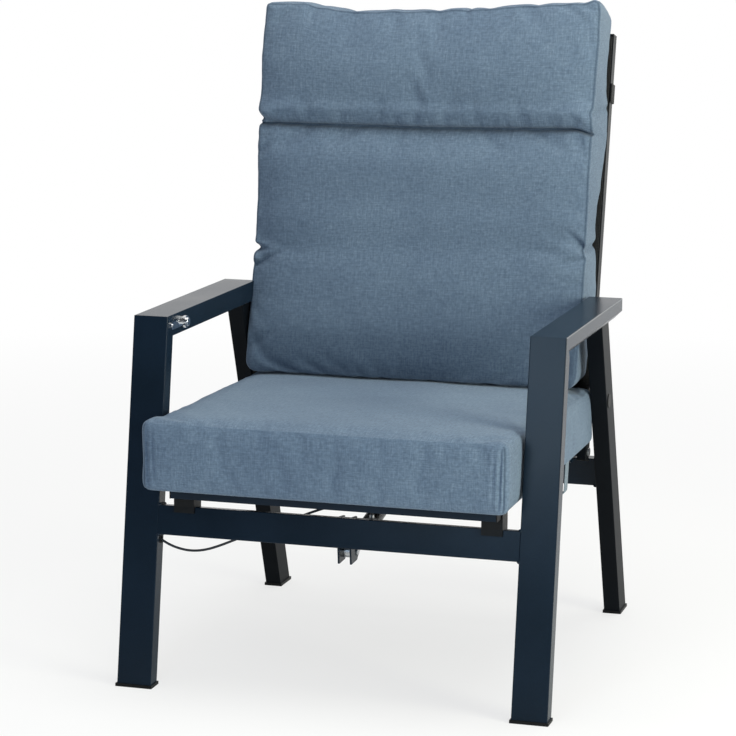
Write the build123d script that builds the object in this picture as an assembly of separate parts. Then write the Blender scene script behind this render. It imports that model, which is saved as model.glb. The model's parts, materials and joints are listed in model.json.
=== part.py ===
from build123d import *
import os
from math import asin, atan2, cos, degrees, hypot, radians, sin, tan

# Garden recliner: a powder-coated aluminium frame with two loose cushions. A push button
# in one armrest releases a lockable gas spring under the seat. The back then reclines
# and carries the sliding seat forward with it.
#
# Millimetres. X runs to the right as seen from the front, +Y to the back, +Z up.
# Left is -X and right is +X, as seen from the front. While the parts are made, Y is zero
# where the front faces of the front legs meet the floor. On export everything moves so
# that the origin lies on the floor, half-way between the foremost and rearmost points.

# Side frames
OUTER_WIDTH = 700.0
ARM_TOP_Z = 583.0
ARM_WIDTH = 57.0
ARM_HEIGHT = 34.0
ARM_OUTER_HEIGHT = 21.0
ARM_BEVEL_WIDTH = 13.0
ARM_REAR_Y = 512.0
FRAME_WALL = 2.0
TUBE_CORNER = 1.5
FRONT_LEG_DEPTH = 28.0
FRONT_LEG_TOP_Y = 90.0
REAR_LEG_WIDTH = 28.0
REAR_LEG_DEPTH = 50.0
REAR_LEG_SET_IN = 23.0
REAR_LEG_FOOT_Y = 671.0
REAR_LEG_TOP_Y = 462.0
LEG_BLANK_LENGTH = ARM_TOP_Z + REAR_LEG_FOOT_Y - REAR_LEG_TOP_Y

# Feet and arm ends
GLIDE_HEIGHT = 5.0
GLIDE_MARGIN = 2.0
PLUG_LENGTH = 15.0
PLUG_FIT = 0.2
ARM_CAP_THICKNESS = 3.0

# Cross rails
RAIL_BOTTOM_Z = 243.0
RAIL_HEIGHT = 47.0
RAIL_DEPTH = 25.0

# Saddles on the front rail, in which the seat slides
SADDLE_RISE = 18.0
SADDLE_WALL = 4.0
SADDLE_LIP = 10.0
SADDLE_CHEEK = 8.0
SLIDE_FIT = 0.3
SADDLE_SCREW_D = 5.0
SADDLE_SCREW_HEAD_D = 9.0
SADDLE_SCREW_HEAD = 2.5
SADDLE_SCREW_LENGTH = 9.0

# Sliding seat frame
SEAT_SIDE_ROOM = 26.0
SEAT_TUBE_WIDTH = 25.0
SEAT_TUBE_HEIGHT = 17.0
SEAT_TUBE_WALL = 1.8
SEAT_FRONT_Y = 15.0
SEAT_SIDE_END_Y = 538.0
SEAT_MID_Y = 395.0
SEAT_REAR_Y = 490.0
SEAT_PLUG_THICKNESS = 2.0
SLING_THICKNESS = 1.6
SLING_INSET = 4.0

# Pivot of the back in the rear legs
PIVOT_Z = 405.0
PIVOT_FORWARD = 10.0
PIVOT_BOLT_D = 10.0
PIVOT_HEAD_D = 18.0
PIVOT_SPACER_D = 24.0
PIVOT_NUT_ACROSS = 16.0
PIVOT_NUT_HEIGHT = 7.0
PIVOT_ACCESS_D = 20.0
PIVOT_CAP_D = 24.0
PIVOT_CAP_THICKNESS = 1.5
PIVOT_CAP_ROUND = 1.0
PIVOT_CAP_WALL = 2.0
PIVOT_CAP_STEM = 6.0
PIVOT_END = 1.5
RUNNING_FIT = 0.05

# Back frame
BACK_LEAN = 13.0
BACK_SIDE_ROOM = 11.0
BACK_TUBE_WIDTH = 16.0
BACK_TUBE_DEPTH = 25.0
BACK_TUBE_WALL = 1.8
BACK_BEHIND_PIVOT = 45.5
BACK_TOP_Z = 1003.0
BACK_FOOT_BELOW_HINGE = 13.0
BACK_CROSS_HEIGHT = 20.0
BACK_LOWER_CROSS_Z = 345.0
BACK_SLING_BOTTOM_Z = 368.0
BACK_SLING_EDGE = 2.0
PIVOT_PLATE_THICKNESS = 3.0
PIVOT_PLATE_RADIUS = 15.0
PIVOT_PLATE_REACH = 26.0

# Hinge between the back's feet and the seat, a pin in an upright slot
HINGE_BELOW_PIVOT = 95.0
HINGE_BOLT_D = 8.0
HINGE_HEAD_D = 14.0
HINGE_HEAD = 3.0
HINGE_PLATE_THICKNESS = 3.0
HINGE_PLATE_LAP = 36.0
HINGE_PLATE_HEIGHT = 30.0
HINGE_PLATE_BEHIND = 14.0
HINGE_SLOT_FIT = 0.9
HINGE_WASHER_D = 18.0
HINGE_GAP = 0.3
HINGE_NUT_ACROSS = 13.0
HINGE_NUT_HEIGHT = 6.0
RECLINE = 35.0

# Gas spring under the seat
SPRING_X = 8.0
SPRING_PIN_Y = 95.0
SPRING_PIN_Z = 225.0
SPRING_REAR_DROP = 22.0
SPRING_PIN_D = 8.0
OPEN_PIVOT_FIT = 1.1
SPRING_CYLINDER_D = 28.0
SPRING_CYLINDER_WALL = 1.5
SPRING_ROD_D = 8.0
SPRING_STROKE = 60.0
SPRING_HEAD_WIDTH = 16.0
SPRING_HEAD_HEIGHT = 20.0
SPRING_HEAD_LENGTH = 46.0
SPRING_ROD_SEAT = 12.0
SPRING_END_LENGTH = 30.0
SPRING_EYE_D = 20.0
SPRING_EYE_WIDTH = 12.0
SPRING_GUIDE_LENGTH = 15.0
SPRING_PISTON_LENGTH = 8.0
SPRING_PLUG_LENGTH = 8.0
CHEEK_THICKNESS = 3.0
CHEEK_GAP = 0.4
PIN_HEAD_D = 12.0
PIN_HEAD = 2.0

# Bracket on the front rail: spring fork, lever bearing and cable stop
BRACKET_DROP = 14.0
BRACKET_NOSE_R = 13.0
BRACKET_SHOULDER_Y = 24.0
LEVER_PIVOT_Y = 84.0
LEVER_PIVOT_Z = 249.0
LEVER_PIN_D = 5.0
LEVER_THICKNESS = 3.0
LEVER_HUB_R = 7.0
LEVER_END_R = 4.5
LEVER_ARM_REACH = 14.0
WIRE_X = 34.0
WIRE_Y = 126.0
WIRE_D = 1.5
WIRE_FIT = 0.2
NIPPLE_D = 5.0
NIPPLE_Z = 249.5
NIPPLE_FIT = 0.5
STOP_PLATE_Z = 268.0
STOP_PLATE_WIDTH = 16.0
STOP_PLATE_REACH = 8.0
FERRULE_D = 7.0
FERRULE_BELOW = 0.8
FERRULE_FLANGE = 3.0
FERRULE_TOP_Z = 278.5

# Release button in the left armrest
BUTTON_Y = 156.0
BUTTON_D = 14.0
BUTTON_PROUD = 11.0
BUTTON_TRAVEL = 5.0
BUTTON_INSIDE = 12.0
BUTTON_BACK_ROOM = 11.0
BUTTON_EDGE = 1.5
HOUSING_COLLAR_D = 20.0
HOUSING_COLLAR = 5.0
HOUSING_BARREL_D = 20.0
HOUSING_END = 3.0
BEZEL_THICKNESS = 2.5
BEZEL_FRONT_Y = 99.0
BEZEL_HEIGHT = 12.0
HOUSING_SCREW_D = 6.5
HOUSING_SCREW_HEAD = 1.5
HOUSING_SCREW_SHANK_D = 3.5
HOUSING_SCREW_LENGTH = 7.0
CABLE_BOSS = 8.0

# Release cable: its route in Y and Z, from the housing to the cable stop, with each point's X as a
# share of the arm's inner face
CABLE_D = 4.0
CABLE_ROUTE = [
    (120.0, 566.0),
    (109.5, 566.0),
    (100.5, 560.0),
    (96.5, 548.0),
    (93.5, 527.0),
    (85.5, 486.0),
    (78.5, 440.0),
    (69.5, 392.0),
    (64.5, 346.0),
    (57.5, 303.0),
    (54.5, 272.0),
    (53.0, 253.0),
    (52.0, 237.5),
    (51.5, 227.5),
    (52.0, 219.5),
    (53.0, 216.0),
    (54.5, 219.0),
    (58.5, 227.0),
    (66.5, 237.0),
    (77.5, 249.0),
    (87.5, 261.5),
    (96.0, 272.5),
    (104.5, 286.0),
    (112.5, 295.0),
    (118.5, 299.0),
    (122.8, 299.3),
    (124.8, 294.8),
    (126.0, 287.0),
    (126.0, 278.5),
]
CABLE_ACROSS_SHARES = [
    -1.05119, -1.05119, -1.0529, -1.0529, -1.04778, -1.05461, -1.04778, -1.05631,
    -1.04949, -1.05973, -1.06143, -1.05119, -1.02389, -0.97611, -0.90785, -0.82935,
    -0.74744, -0.66894, -0.58703, -0.49147, -0.38225, -0.27304, -0.157, -0.05461,
    0.02389, 0.07509, 0.10102, 0.11604, 0.11604,
]
CABLE_ARC_SHARE = 0.45
GROMMET_BORE = 8.2
GROMMET_WALL = 1.4
GROMMET_FLANGE_D = 13.6
GROMMET_FLANGE = 1.0

# Seat cushion
SEAT_CUSHION_SIDE_ROOM = 3.0
SEAT_CUSHION_FRONT_Y = -18.0
SEAT_CUSHION_REAR_REACH = 6.0
SEAT_CUSHION_THICKNESS = 98.0
SEAT_CUSHION_CROWN = 13.0
SEAT_CUSHION_BULGE = 9.0
CUSHION_GAP = 0.3
# Share of the depth, top, bottom, width and crown, from front to rear.
SEAT_CUSHION_SHARES = [
    (0.0, 0.78, 0.16, 0.985, 0.3),
    (0.01, 0.9, 0.06, 1.01, 0.5),
    (0.035, 1.0, 0.0, 1.026, 0.7),
    (0.07, 1.0, 0.0, 1.022, 0.85),
    (0.102, 1.0, 0.0, 1.0, 0.93),
    (0.4, 1.0, 0.0, 1.0, 1.0),
    (0.7, 1.0, 0.0, 1.0, 0.95),
    (0.84, 1.0, 0.0, 1.0, 0.6),
    (0.95, 0.98, 0.0, 1.0, 0.25),
    (0.99, 0.92, 0.04, 0.995, 0.1),
    (1.0, 0.85, 0.1, 0.985, 0.1),
]
TIE_WIDTH = 25.0
TIE_THICKNESS = 1.5
TIE_Y = 424.0
TIE_DROP = 38.0
TIE_OUT = 6.0

# Back cushion
BACK_CUSHION_SIDE_REACH = 15.0
BACK_CUSHION_BOTTOM_Z = 436.0
BACK_CUSHION_HEIGHT = 612.0
BACK_CUSHION_THICKNESS = 150.0
BACK_CUSHION_CROWN = 18.0
BACK_CUSHION_BULGE = 8.0
# Share of the height, front edge, rear face, width and crown, from bottom to top.
# The row with the least crown is the sewn channel under the headrest.
BACK_CUSHION_SHARES = [
    (0.0, 0.68, 0.14, 0.93, 0.2),
    (0.012, 0.73, 0.04, 0.948, 0.5),
    (0.04, 0.76, 0.0, 0.958, 0.9),
    (0.12, 0.71, 0.0, 0.962, 1.0),
    (0.22, 0.65, 0.0, 0.962, 1.0),
    (0.33, 0.64, 0.0, 0.965, 1.0),
    (0.45, 0.7, 0.0, 0.99, 1.0),
    (0.66, 0.83, 0.0, 0.988, 0.8),
    (0.694, 0.81, 0.0, 0.966, 0.15),
    (0.728, 0.86, 0.0, 0.985, 0.75),
    (0.86, 0.95, 0.0, 1.0, 1.0),
    (0.96, 0.96, 0.03, 0.995, 0.8),
    (0.99, 0.9, 0.1, 0.978, 0.45),
    (1.0, 0.8, 0.2, 0.96, 0.2),
]
STRAP_Z = 907.0
STRAP_WIDTH = 33.0
STRAP_THICKNESS = 3.0

# Cuts and bores run past the material by this much.
OVERRUN = 5.0

# Worked out from the sizes above
HALF_WIDTH = OUTER_WIDTH / 2
ARM_INNER_X = HALF_WIDTH - ARM_WIDTH
ARM_BOTTOM_Z = ARM_TOP_Z - ARM_HEIGHT
ARM_MID_Z = ARM_TOP_Z - ARM_HEIGHT / 2
LEG_LEAN = atan2(FRONT_LEG_TOP_Y, ARM_TOP_Z)
LEG_LEVEL_DEPTH = FRONT_LEG_DEPTH / cos(LEG_LEAN)
REAR_LEAN = atan2(REAR_LEG_FOOT_Y - REAR_LEG_TOP_Y, ARM_BOTTOM_Z)
REAR_LEG_LEVEL_DEPTH = REAR_LEG_DEPTH / cos(REAR_LEAN)
REAR_LEG_OUTER_X = HALF_WIDTH - REAR_LEG_SET_IN
REAR_LEG_INNER_X = REAR_LEG_OUTER_X - REAR_LEG_WIDTH
BACK_HALF_WIDTH = REAR_LEG_INNER_X - BACK_SIDE_ROOM
SEAT_HALF_WIDTH = BACK_HALF_WIDTH - SEAT_SIDE_ROOM
SEAT_CUSHION_HALF_WIDTH = ARM_INNER_X - SEAT_CUSHION_SIDE_ROOM
SEAT_CUSHION_REAR_Y = SEAT_SIDE_END_Y + SEAT_CUSHION_REAR_REACH
SEAT_CUSHION_DEPTH = SEAT_CUSHION_REAR_Y - SEAT_CUSHION_FRONT_Y
BACK_CUSHION_HALF_WIDTH = BACK_HALF_WIDTH + BACK_CUSHION_SIDE_REACH
CABLE_POINTS = [
    (share * ARM_INNER_X, y, z) for share, (y, z) in zip(CABLE_ACROSS_SHARES, CABLE_ROUTE)
]
RAIL_TOP_Z = RAIL_BOTTOM_Z + RAIL_HEIGHT * cos(LEG_LEAN)
SLIDE_Z = RAIL_TOP_Z + SADDLE_RISE
SEAT_BOTTOM_Z = SLIDE_Z + SLIDE_FIT
SEAT_TOP_Z = SEAT_BOTTOM_Z + SEAT_TUBE_HEIGHT
SEAT_TUBE_X = SEAT_HALF_WIDTH - SEAT_TUBE_WIDTH / 2
SEAT_INNER_X = SEAT_HALF_WIDTH - SEAT_TUBE_WIDTH


def front_leg_y(z):
    """Front face of a front leg at height z."""
    return z * tan(LEG_LEAN)


def rear_leg_y(z):
    """Centre line of a rear leg at height z."""
    return REAR_LEG_FOOT_Y - z * tan(REAR_LEAN) + REAR_LEG_LEVEL_DEPTH / 2


PIVOT_Y = rear_leg_y(PIVOT_Z) - PIVOT_FORWARD
BACK_ANGLE = radians(BACK_LEAN)
HINGE_Z = PIVOT_Z - HINGE_BELOW_PIVOT


def back_y(z):
    """Centre line of the back frame at height z."""
    return PIVOT_Y + BACK_BEHIND_PIVOT + (z - PIVOT_Z) * tan(BACK_ANGLE)


HINGE_Y = back_y(HINGE_Z)
BACK_FOOT_Z = HINGE_Z - BACK_FOOT_BELOW_HINGE
BACK_LENGTH = (BACK_TOP_Z - BACK_FOOT_Z) / cos(BACK_ANGLE)
BACK_TUBE_X = BACK_HALF_WIDTH - BACK_TUBE_WIDTH / 2
BACK_INNER_X = BACK_HALF_WIDTH - BACK_TUBE_WIDTH
PLATE_OUTER_X = BACK_HALF_WIDTH + PIVOT_PLATE_THICKNESS
HINGE_RADIUS = hypot(HINGE_Y - PIVOT_Y, HINGE_BELOW_PIVOT)
HINGE_START = asin((HINGE_Y - PIVOT_Y) / HINGE_RADIUS)
HINGE_END = radians(RECLINE) - HINGE_START
SEAT_TRAVEL = HINGE_RADIUS * (sin(HINGE_START) + sin(HINGE_END))
HINGE_DIP = HINGE_RADIUS - HINGE_BELOW_PIVOT
HINGE_RISE = HINGE_BELOW_PIVOT - HINGE_RADIUS * cos(HINGE_END)
SPRING_REAR_Y = SEAT_MID_Y + SEAT_TUBE_WIDTH / 2
SPRING_REAR_Z = SEAT_BOTTOM_Z - SPRING_REAR_DROP
SPRING_LENGTH = hypot(SPRING_REAR_Y - SPRING_PIN_Y, SPRING_REAR_Z - SPRING_PIN_Z)
SPRING_ANGLE = atan2(SPRING_REAR_Z - SPRING_PIN_Z, SPRING_REAR_Y - SPRING_PIN_Y)
SPRING_AXIS = Plane(
    origin=(SPRING_X, SPRING_PIN_Y, SPRING_PIN_Z),
    x_dir=(1, 0, 0),
    z_dir=(0, cos(SPRING_ANGLE), sin(SPRING_ANGLE)),
)
CYLINDER_START = SPRING_HEAD_LENGTH + SPRING_STROKE + OVERRUN
CYLINDER_END = SPRING_LENGTH - SPRING_END_LENGTH
CHEEK_X = SPRING_HEAD_WIDTH / 2 + CHEEK_GAP
SEAT_CUSHION_BOTTOM_Z = SEAT_TOP_Z + SLING_THICKNESS
BACK_FACE_GAP = BACK_TUBE_DEPTH / 2 + SLING_THICKNESS + CUSHION_GAP
REAR_REACH_Y = back_y(BACK_TOP_Z) + BACK_TUBE_DEPTH / 2 / cos(BACK_ANGLE)
ORIGIN_Y = (SEAT_CUSHION_FRONT_Y + REAR_REACH_Y) / 2

ON_TOP = (Align.CENTER, Align.CENTER, Align.MIN)
parts = {}


def mirrored(shape):
    """The same piece on the other side of the chair."""
    return mirror(shape, about=Plane.YZ)


def group(*shapes):
    """Several separate solids as one node."""
    return Compound([solid for shape in shapes for solid in shape.solids()])


def add_pair(name, right):
    """Keep a right-hand piece and its left-hand mirror image as two nodes."""
    parts[name + "_right"] = right
    parts[name + "_left"] = mirrored(right)


def add_both(name, *right):
    """Keep right-hand pieces and their left-hand mirror images as one node."""
    parts[name] = group(*right, *(mirrored(piece) for piece in right))


def side_prism(outline, x_low, x_high):
    """Prism over a side-view outline of (y, z) points."""
    face = make_face(Polyline(*outline, close=True))
    return Pos(x_low, 0, 0) * extrude(Plane.YZ * face, amount=x_high - x_low)


def upright_tube(width, depth, length, wall):
    """Rectangular tube along Z from its foot, with rounded long edges."""
    outside = Box(width, depth, length, align=ON_TOP)
    outside = fillet(outside.edges().filter_by(Axis.Z), TUBE_CORNER)
    return outside - Box(width - 2 * wall, depth - 2 * wall, length, align=ON_TOP)


def lying_tube(length, depth, height, wall):
    """Rectangular tube along X, centred on its middle, with rounded long edges."""
    outside = Box(length, depth, height)
    outside = fillet(outside.edges().filter_by(Axis.X), TUBE_CORNER)
    return outside - Box(length, depth - 2 * wall, height - 2 * wall)


def x_cylinder(diameter, x_low, x_high, y, z):
    """Round bar along X."""
    bar = Cylinder(diameter / 2, x_high - x_low, align=ON_TOP)
    return Pos(x_low, y, z) * Rot(Y=90) * bar


def x_ring(outer, inner, x_low, x_high, y, z):
    """Washer or bush along X."""
    return x_cylinder(outer, x_low, x_high, y, z) - x_cylinder(inner, x_low, x_high, y, z)


def x_nut(across, bore, x_low, x_high, y, z):
    """Hexagon nut along X."""
    hexagon = RegularPolygon(across / 2, side_count=6, major_radius=False)
    nut = Pos(x_low, y, z) * Rot(Y=90) * extrude(hexagon, amount=x_high - x_low)
    return nut - x_cylinder(bore, x_low, x_high, y, z)


# Side frames


def mitre_plane():
    """Plane of the welded mitre between a front leg and its armrest."""
    low_y = front_leg_y(ARM_BOTTOM_Z) + LEG_LEVEL_DEPTH
    normal = (0, ARM_HEIGHT, low_y - FRONT_LEG_TOP_Y)
    return Plane(origin=(0, FRONT_LEG_TOP_Y, ARM_TOP_Z), x_dir=(1, 0, 0), z_dir=normal)


def leg_between(tube, lean, foot_y, x_mid):
    """Stand a tube on the floor at a lean to the back, with its lower end cut level."""
    below = Pos(0, 0, -OVERRUN) * tube
    leg = Pos(x_mid, foot_y, 0) * Rot(X=-degrees(lean)) * below
    return split(leg, bisect_by=Plane.XY.offset(GLIDE_HEIGHT), keep=Keep.TOP)


def front_leg():
    """Right front leg, which leans back and is mitred under the armrest."""
    tube = upright_tube(ARM_WIDTH, FRONT_LEG_DEPTH, LEG_BLANK_LENGTH, FRAME_WALL)
    leg = leg_between(tube, LEG_LEAN, LEG_LEVEL_DEPTH / 2, HALF_WIDTH - ARM_WIDTH / 2)
    return split(leg, bisect_by=mitre_plane(), keep=Keep.BOTTOM)


def rear_leg():
    """Right rear leg, which slants forward from the floor up to the armrest."""
    tube = upright_tube(REAR_LEG_WIDTH, REAR_LEG_DEPTH, LEG_BLANK_LENGTH, FRAME_WALL)
    foot_y = REAR_LEG_FOOT_Y + REAR_LEG_LEVEL_DEPTH / 2
    leg = leg_between(tube, -REAR_LEAN, foot_y, REAR_LEG_OUTER_X - REAR_LEG_WIDTH / 2)
    leg = split(leg, bisect_by=Plane.XY.offset(ARM_BOTTOM_Z), keep=Keep.BOTTOM)
    bolt_hole = x_cylinder(
        PIVOT_BOLT_D + 2 * RUNNING_FIT,
        REAR_LEG_INNER_X - OVERRUN,
        REAR_LEG_OUTER_X + OVERRUN,
        PIVOT_Y,
        PIVOT_Z,
    )
    access_hole = x_cylinder(
        PIVOT_ACCESS_D,
        REAR_LEG_OUTER_X - REAR_LEG_WIDTH / 2,
        REAR_LEG_OUTER_X + OVERRUN,
        PIVOT_Y,
        PIVOT_Z,
    )
    return leg - bolt_hole - access_hole


def arm_outline():
    """Front view of the armrest's section, bevelled under its outer edge."""
    points = [
        (ARM_INNER_X, ARM_BOTTOM_Z),
        (HALF_WIDTH - ARM_BEVEL_WIDTH, ARM_BOTTOM_Z),
        (HALF_WIDTH, ARM_TOP_Z - ARM_OUTER_HEIGHT),
        (HALF_WIDTH, ARM_TOP_Z),
        (ARM_INNER_X, ARM_TOP_Z),
    ]
    section = make_face(Polyline(*points, close=True))
    return fillet(section.vertices(), TUBE_CORNER)


def arm_prism(section, y_front, y_rear):
    """Prism along Y over a front-view section."""
    # The XZ plane's normal is -Y, so the section is drawn at the rear and runs forward.
    return Pos(0, y_rear, 0) * extrude(Plane.XZ * section, amount=y_rear - y_front)


def armrest():
    """Right armrest, mitred to the front leg and open at the rear."""
    section = arm_outline()
    bore = offset(section, amount=-FRAME_WALL, kind=Kind.INTERSECTION)
    front_y = FRONT_LEG_TOP_Y - OVERRUN
    arm = arm_prism(section, front_y, ARM_REAR_Y) - arm_prism(bore, front_y, ARM_REAR_Y)
    return split(arm, bisect_by=mitre_plane(), keep=Keep.TOP)


def arm_end_cap():
    """Plastic cap with a plug in the rear end of the right armrest."""
    section = arm_outline()
    plug = offset(section, amount=-(FRAME_WALL + PLUG_FIT), kind=Kind.INTERSECTION)
    cap = arm_prism(section, ARM_REAR_Y, ARM_REAR_Y + ARM_CAP_THICKNESS)
    return cap + arm_prism(plug, ARM_REAR_Y - PLUG_LENGTH, ARM_REAR_Y)


def foot_glide(width, depth, lean, foot_y, x_mid):
    """Foot pad under a leg, with a plug up into the tube."""
    level_depth = depth / cos(lean)
    pad_y = foot_y + GLIDE_HEIGHT * tan(lean) / 2
    pad = Box(
        width + 2 * GLIDE_MARGIN, level_depth + 2 * GLIDE_MARGIN, GLIDE_HEIGHT, align=ON_TOP
    )
    pad = Pos(x_mid, pad_y, 0) * pad
    less = 2 * (FRAME_WALL + PLUG_FIT)
    plug = Box(width - less, depth - less, 2 * PLUG_LENGTH)
    plug = Pos(x_mid, foot_y, 0) * Rot(X=-degrees(lean)) * plug
    plug = split(plug, bisect_by=Plane.XY.offset(GLIDE_HEIGHT), keep=Keep.TOP)
    return pad + plug


def cut_cable_openings(leg, arm):
    """Left leg and arm with the holes for the release button and its cable."""
    barrel = x_cylinder(
        HOUSING_BARREL_D + 2 * PLUG_FIT, -ARM_INNER_X - FRAME_WALL, -ARM_INNER_X, BUTTON_Y, ARM_MID_Z
    )
    exit_y, exit_z = cable_crossing(-ARM_INNER_X)
    cable_exit = x_cylinder(
        GROMMET_BORE + 2 * GROMMET_WALL, -ARM_INNER_X - FRAME_WALL, -ARM_INNER_X, exit_y, exit_z
    )
    return leg - cable_exit, arm - barrel


def cable_crossing(x):
    """Height and depth at which the cable's route passes the plane at x."""
    for (x0, y0, z0), (x1, y1, z1) in zip(CABLE_POINTS, CABLE_POINTS[1:]):
        if x0 < x <= x1:
            share = (x - x0) / (x1 - x0)
            return y0 + share * (y1 - y0), z0 + share * (z1 - z0)
    raise ValueError("the cable's route doesn't cross this plane")


def side_frames():
    """Legs, armrests, caps and feet on both sides."""
    add_pair("front_leg", front_leg())
    add_pair("rear_leg", rear_leg())
    add_pair("armrest", armrest())
    add_both("arm_end_caps", arm_end_cap())
    leg, arm = cut_cable_openings(parts["front_leg_left"], parts["armrest_left"])
    parts["front_leg_left"] = leg
    parts["armrest_left"] = arm
    front_x = HALF_WIDTH - ARM_WIDTH / 2
    rear_x = REAR_LEG_OUTER_X - REAR_LEG_WIDTH / 2
    rear_y = REAR_LEG_FOOT_Y + REAR_LEG_LEVEL_DEPTH / 2
    add_both(
        "foot_glides_front",
        foot_glide(ARM_WIDTH, FRONT_LEG_DEPTH, LEG_LEAN, LEG_LEVEL_DEPTH / 2, front_x),
    )
    add_both(
        "foot_glides_rear",
        foot_glide(REAR_LEG_WIDTH, REAR_LEG_DEPTH, -REAR_LEAN, rear_y, rear_x),
    )


# Rails and saddles


def on_rail(across, up):
    """Side-view point measured from the front rail's lower front edge."""
    return (
        front_leg_y(RAIL_BOTTOM_Z) + across * cos(LEG_LEAN) + up * sin(LEG_LEAN),
        RAIL_BOTTOM_Z - across * sin(LEG_LEAN) + up * cos(LEG_LEAN),
    )


def front_rail():
    """Rail between the front legs, with its face in line with theirs."""
    tube = lying_tube(2 * ARM_INNER_X, RAIL_DEPTH, RAIL_HEIGHT, FRAME_WALL)
    y, z = on_rail(RAIL_DEPTH / 2, RAIL_HEIGHT / 2)
    return Pos(0, y, z) * Rot(X=-degrees(LEG_LEAN)) * tube


def rear_rail():
    """Upright rail between the rear legs, in line with their rear faces."""
    tube = lying_tube(2 * REAR_LEG_INNER_X, RAIL_DEPTH, RAIL_HEIGHT, FRAME_WALL)
    z = RAIL_BOTTOM_Z + RAIL_HEIGHT / 2
    y = rear_leg_y(z) + REAR_LEG_LEVEL_DEPTH / 2 - RAIL_DEPTH / 2
    return Pos(0, y, z) * tube


def slide_saddle():
    """Plastic saddle over the right end of the front rail, with a channel for the seat."""
    lip_up = RAIL_HEIGHT - SADDLE_LIP
    front = on_rail(-SADDLE_WALL, RAIL_HEIGHT)
    rear = on_rail(RAIL_DEPTH + SADDLE_WALL, RAIL_HEIGHT)
    top_z = SLIDE_Z + SADDLE_CHEEK
    outline = [
        on_rail(-SADDLE_WALL, lip_up),
        on_rail(0, lip_up),
        on_rail(0, RAIL_HEIGHT),
        on_rail(RAIL_DEPTH, RAIL_HEIGHT),
        on_rail(RAIL_DEPTH, lip_up),
        on_rail(RAIL_DEPTH + SADDLE_WALL, lip_up),
        rear,
        (rear[0], top_z),
        (front[0], top_z),
        front,
    ]
    half = SEAT_TUBE_WIDTH / 2 + SLIDE_FIT
    block = side_prism(outline, SEAT_TUBE_X - half - SADDLE_WALL, SEAT_TUBE_X + half + SADDLE_WALL)
    channel = Box(2 * half, 4 * RAIL_DEPTH, 2 * SADDLE_CHEEK, align=ON_TOP)
    block = block - Pos(SEAT_TUBE_X, rear[0], SLIDE_Z) * channel
    head_seat, shank = saddle_screw_shapes(PLUG_FIT)
    return block - head_seat - shank


def saddle_screw_shapes(room):
    """Head and shank of the screw that holds the right saddle, grown by room."""
    y, z = on_rail(RAIL_DEPTH / 2, RAIL_HEIGHT)
    head_z = SLIDE_Z - SADDLE_SCREW_HEAD - SLIDE_FIT
    head = Cylinder(SADDLE_SCREW_HEAD_D / 2 + room, SADDLE_SCREW_HEAD + room, align=ON_TOP)
    shank_length = head_z - z + SADDLE_SCREW_LENGTH
    shank = Cylinder(SADDLE_SCREW_D / 2 + room, shank_length, align=ON_TOP)
    place = Pos(SEAT_TUBE_X, y, 0)
    return place * Pos(0, 0, head_z) * head, place * Pos(0, 0, head_z - shank_length) * shank


def rails():
    """Front and rear rail with the saddles and their screws."""
    head, shank = saddle_screw_shapes(0)
    screw = head + shank
    hole = saddle_screw_shapes(PLUG_FIT)[1]
    parts["front_rail"] = front_rail() - hole - mirrored(hole)
    parts["rear_rail"] = rear_rail()
    add_pair("slide_saddle", slide_saddle())
    add_both("saddle_screws", screw)


# Sliding seat frame


def seat_hinge_plate():
    """Plate on the outside of the right seat tube, with the upright slot for the pin."""
    slot_half = HINGE_BOLT_D / 2 + HINGE_SLOT_FIT
    slot_low = HINGE_Z - HINGE_DIP - slot_half
    slot_high = HINGE_Z + max(HINGE_RISE, 0) + slot_half
    mid_z = (slot_low + slot_high) / 2
    low_z = mid_z - HINGE_PLATE_HEIGHT / 2
    high_z = min(mid_z + HINGE_PLATE_HEIGHT / 2, SEAT_TOP_Z)
    front_y = SEAT_SIDE_END_Y - HINGE_PLATE_LAP
    rear_y = HINGE_Y + HINGE_PLATE_BEHIND
    chamfer_y = (rear_y - SEAT_SIDE_END_Y) / 4
    outline = [
        (front_y, SEAT_BOTTOM_Z),
        (SEAT_SIDE_END_Y - chamfer_y, low_z),
        (rear_y - chamfer_y, low_z),
        (rear_y, low_z + chamfer_y),
        (rear_y, high_z - chamfer_y),
        (rear_y - chamfer_y, high_z),
        (front_y, high_z),
    ]
    inner_x = SEAT_HALF_WIDTH
    plate = side_prism(outline, inner_x, inner_x + HINGE_PLATE_THICKNESS)
    slot = SlotCenterToCenter(slot_high - slot_low - 2 * slot_half, 2 * slot_half, rotation=90)
    cut = extrude(Plane.YZ * Pos(HINGE_Y, mid_z) * slot, amount=HINGE_PLATE_THICKNESS)
    return plate - Pos(inner_x, 0, 0) * cut


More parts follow.
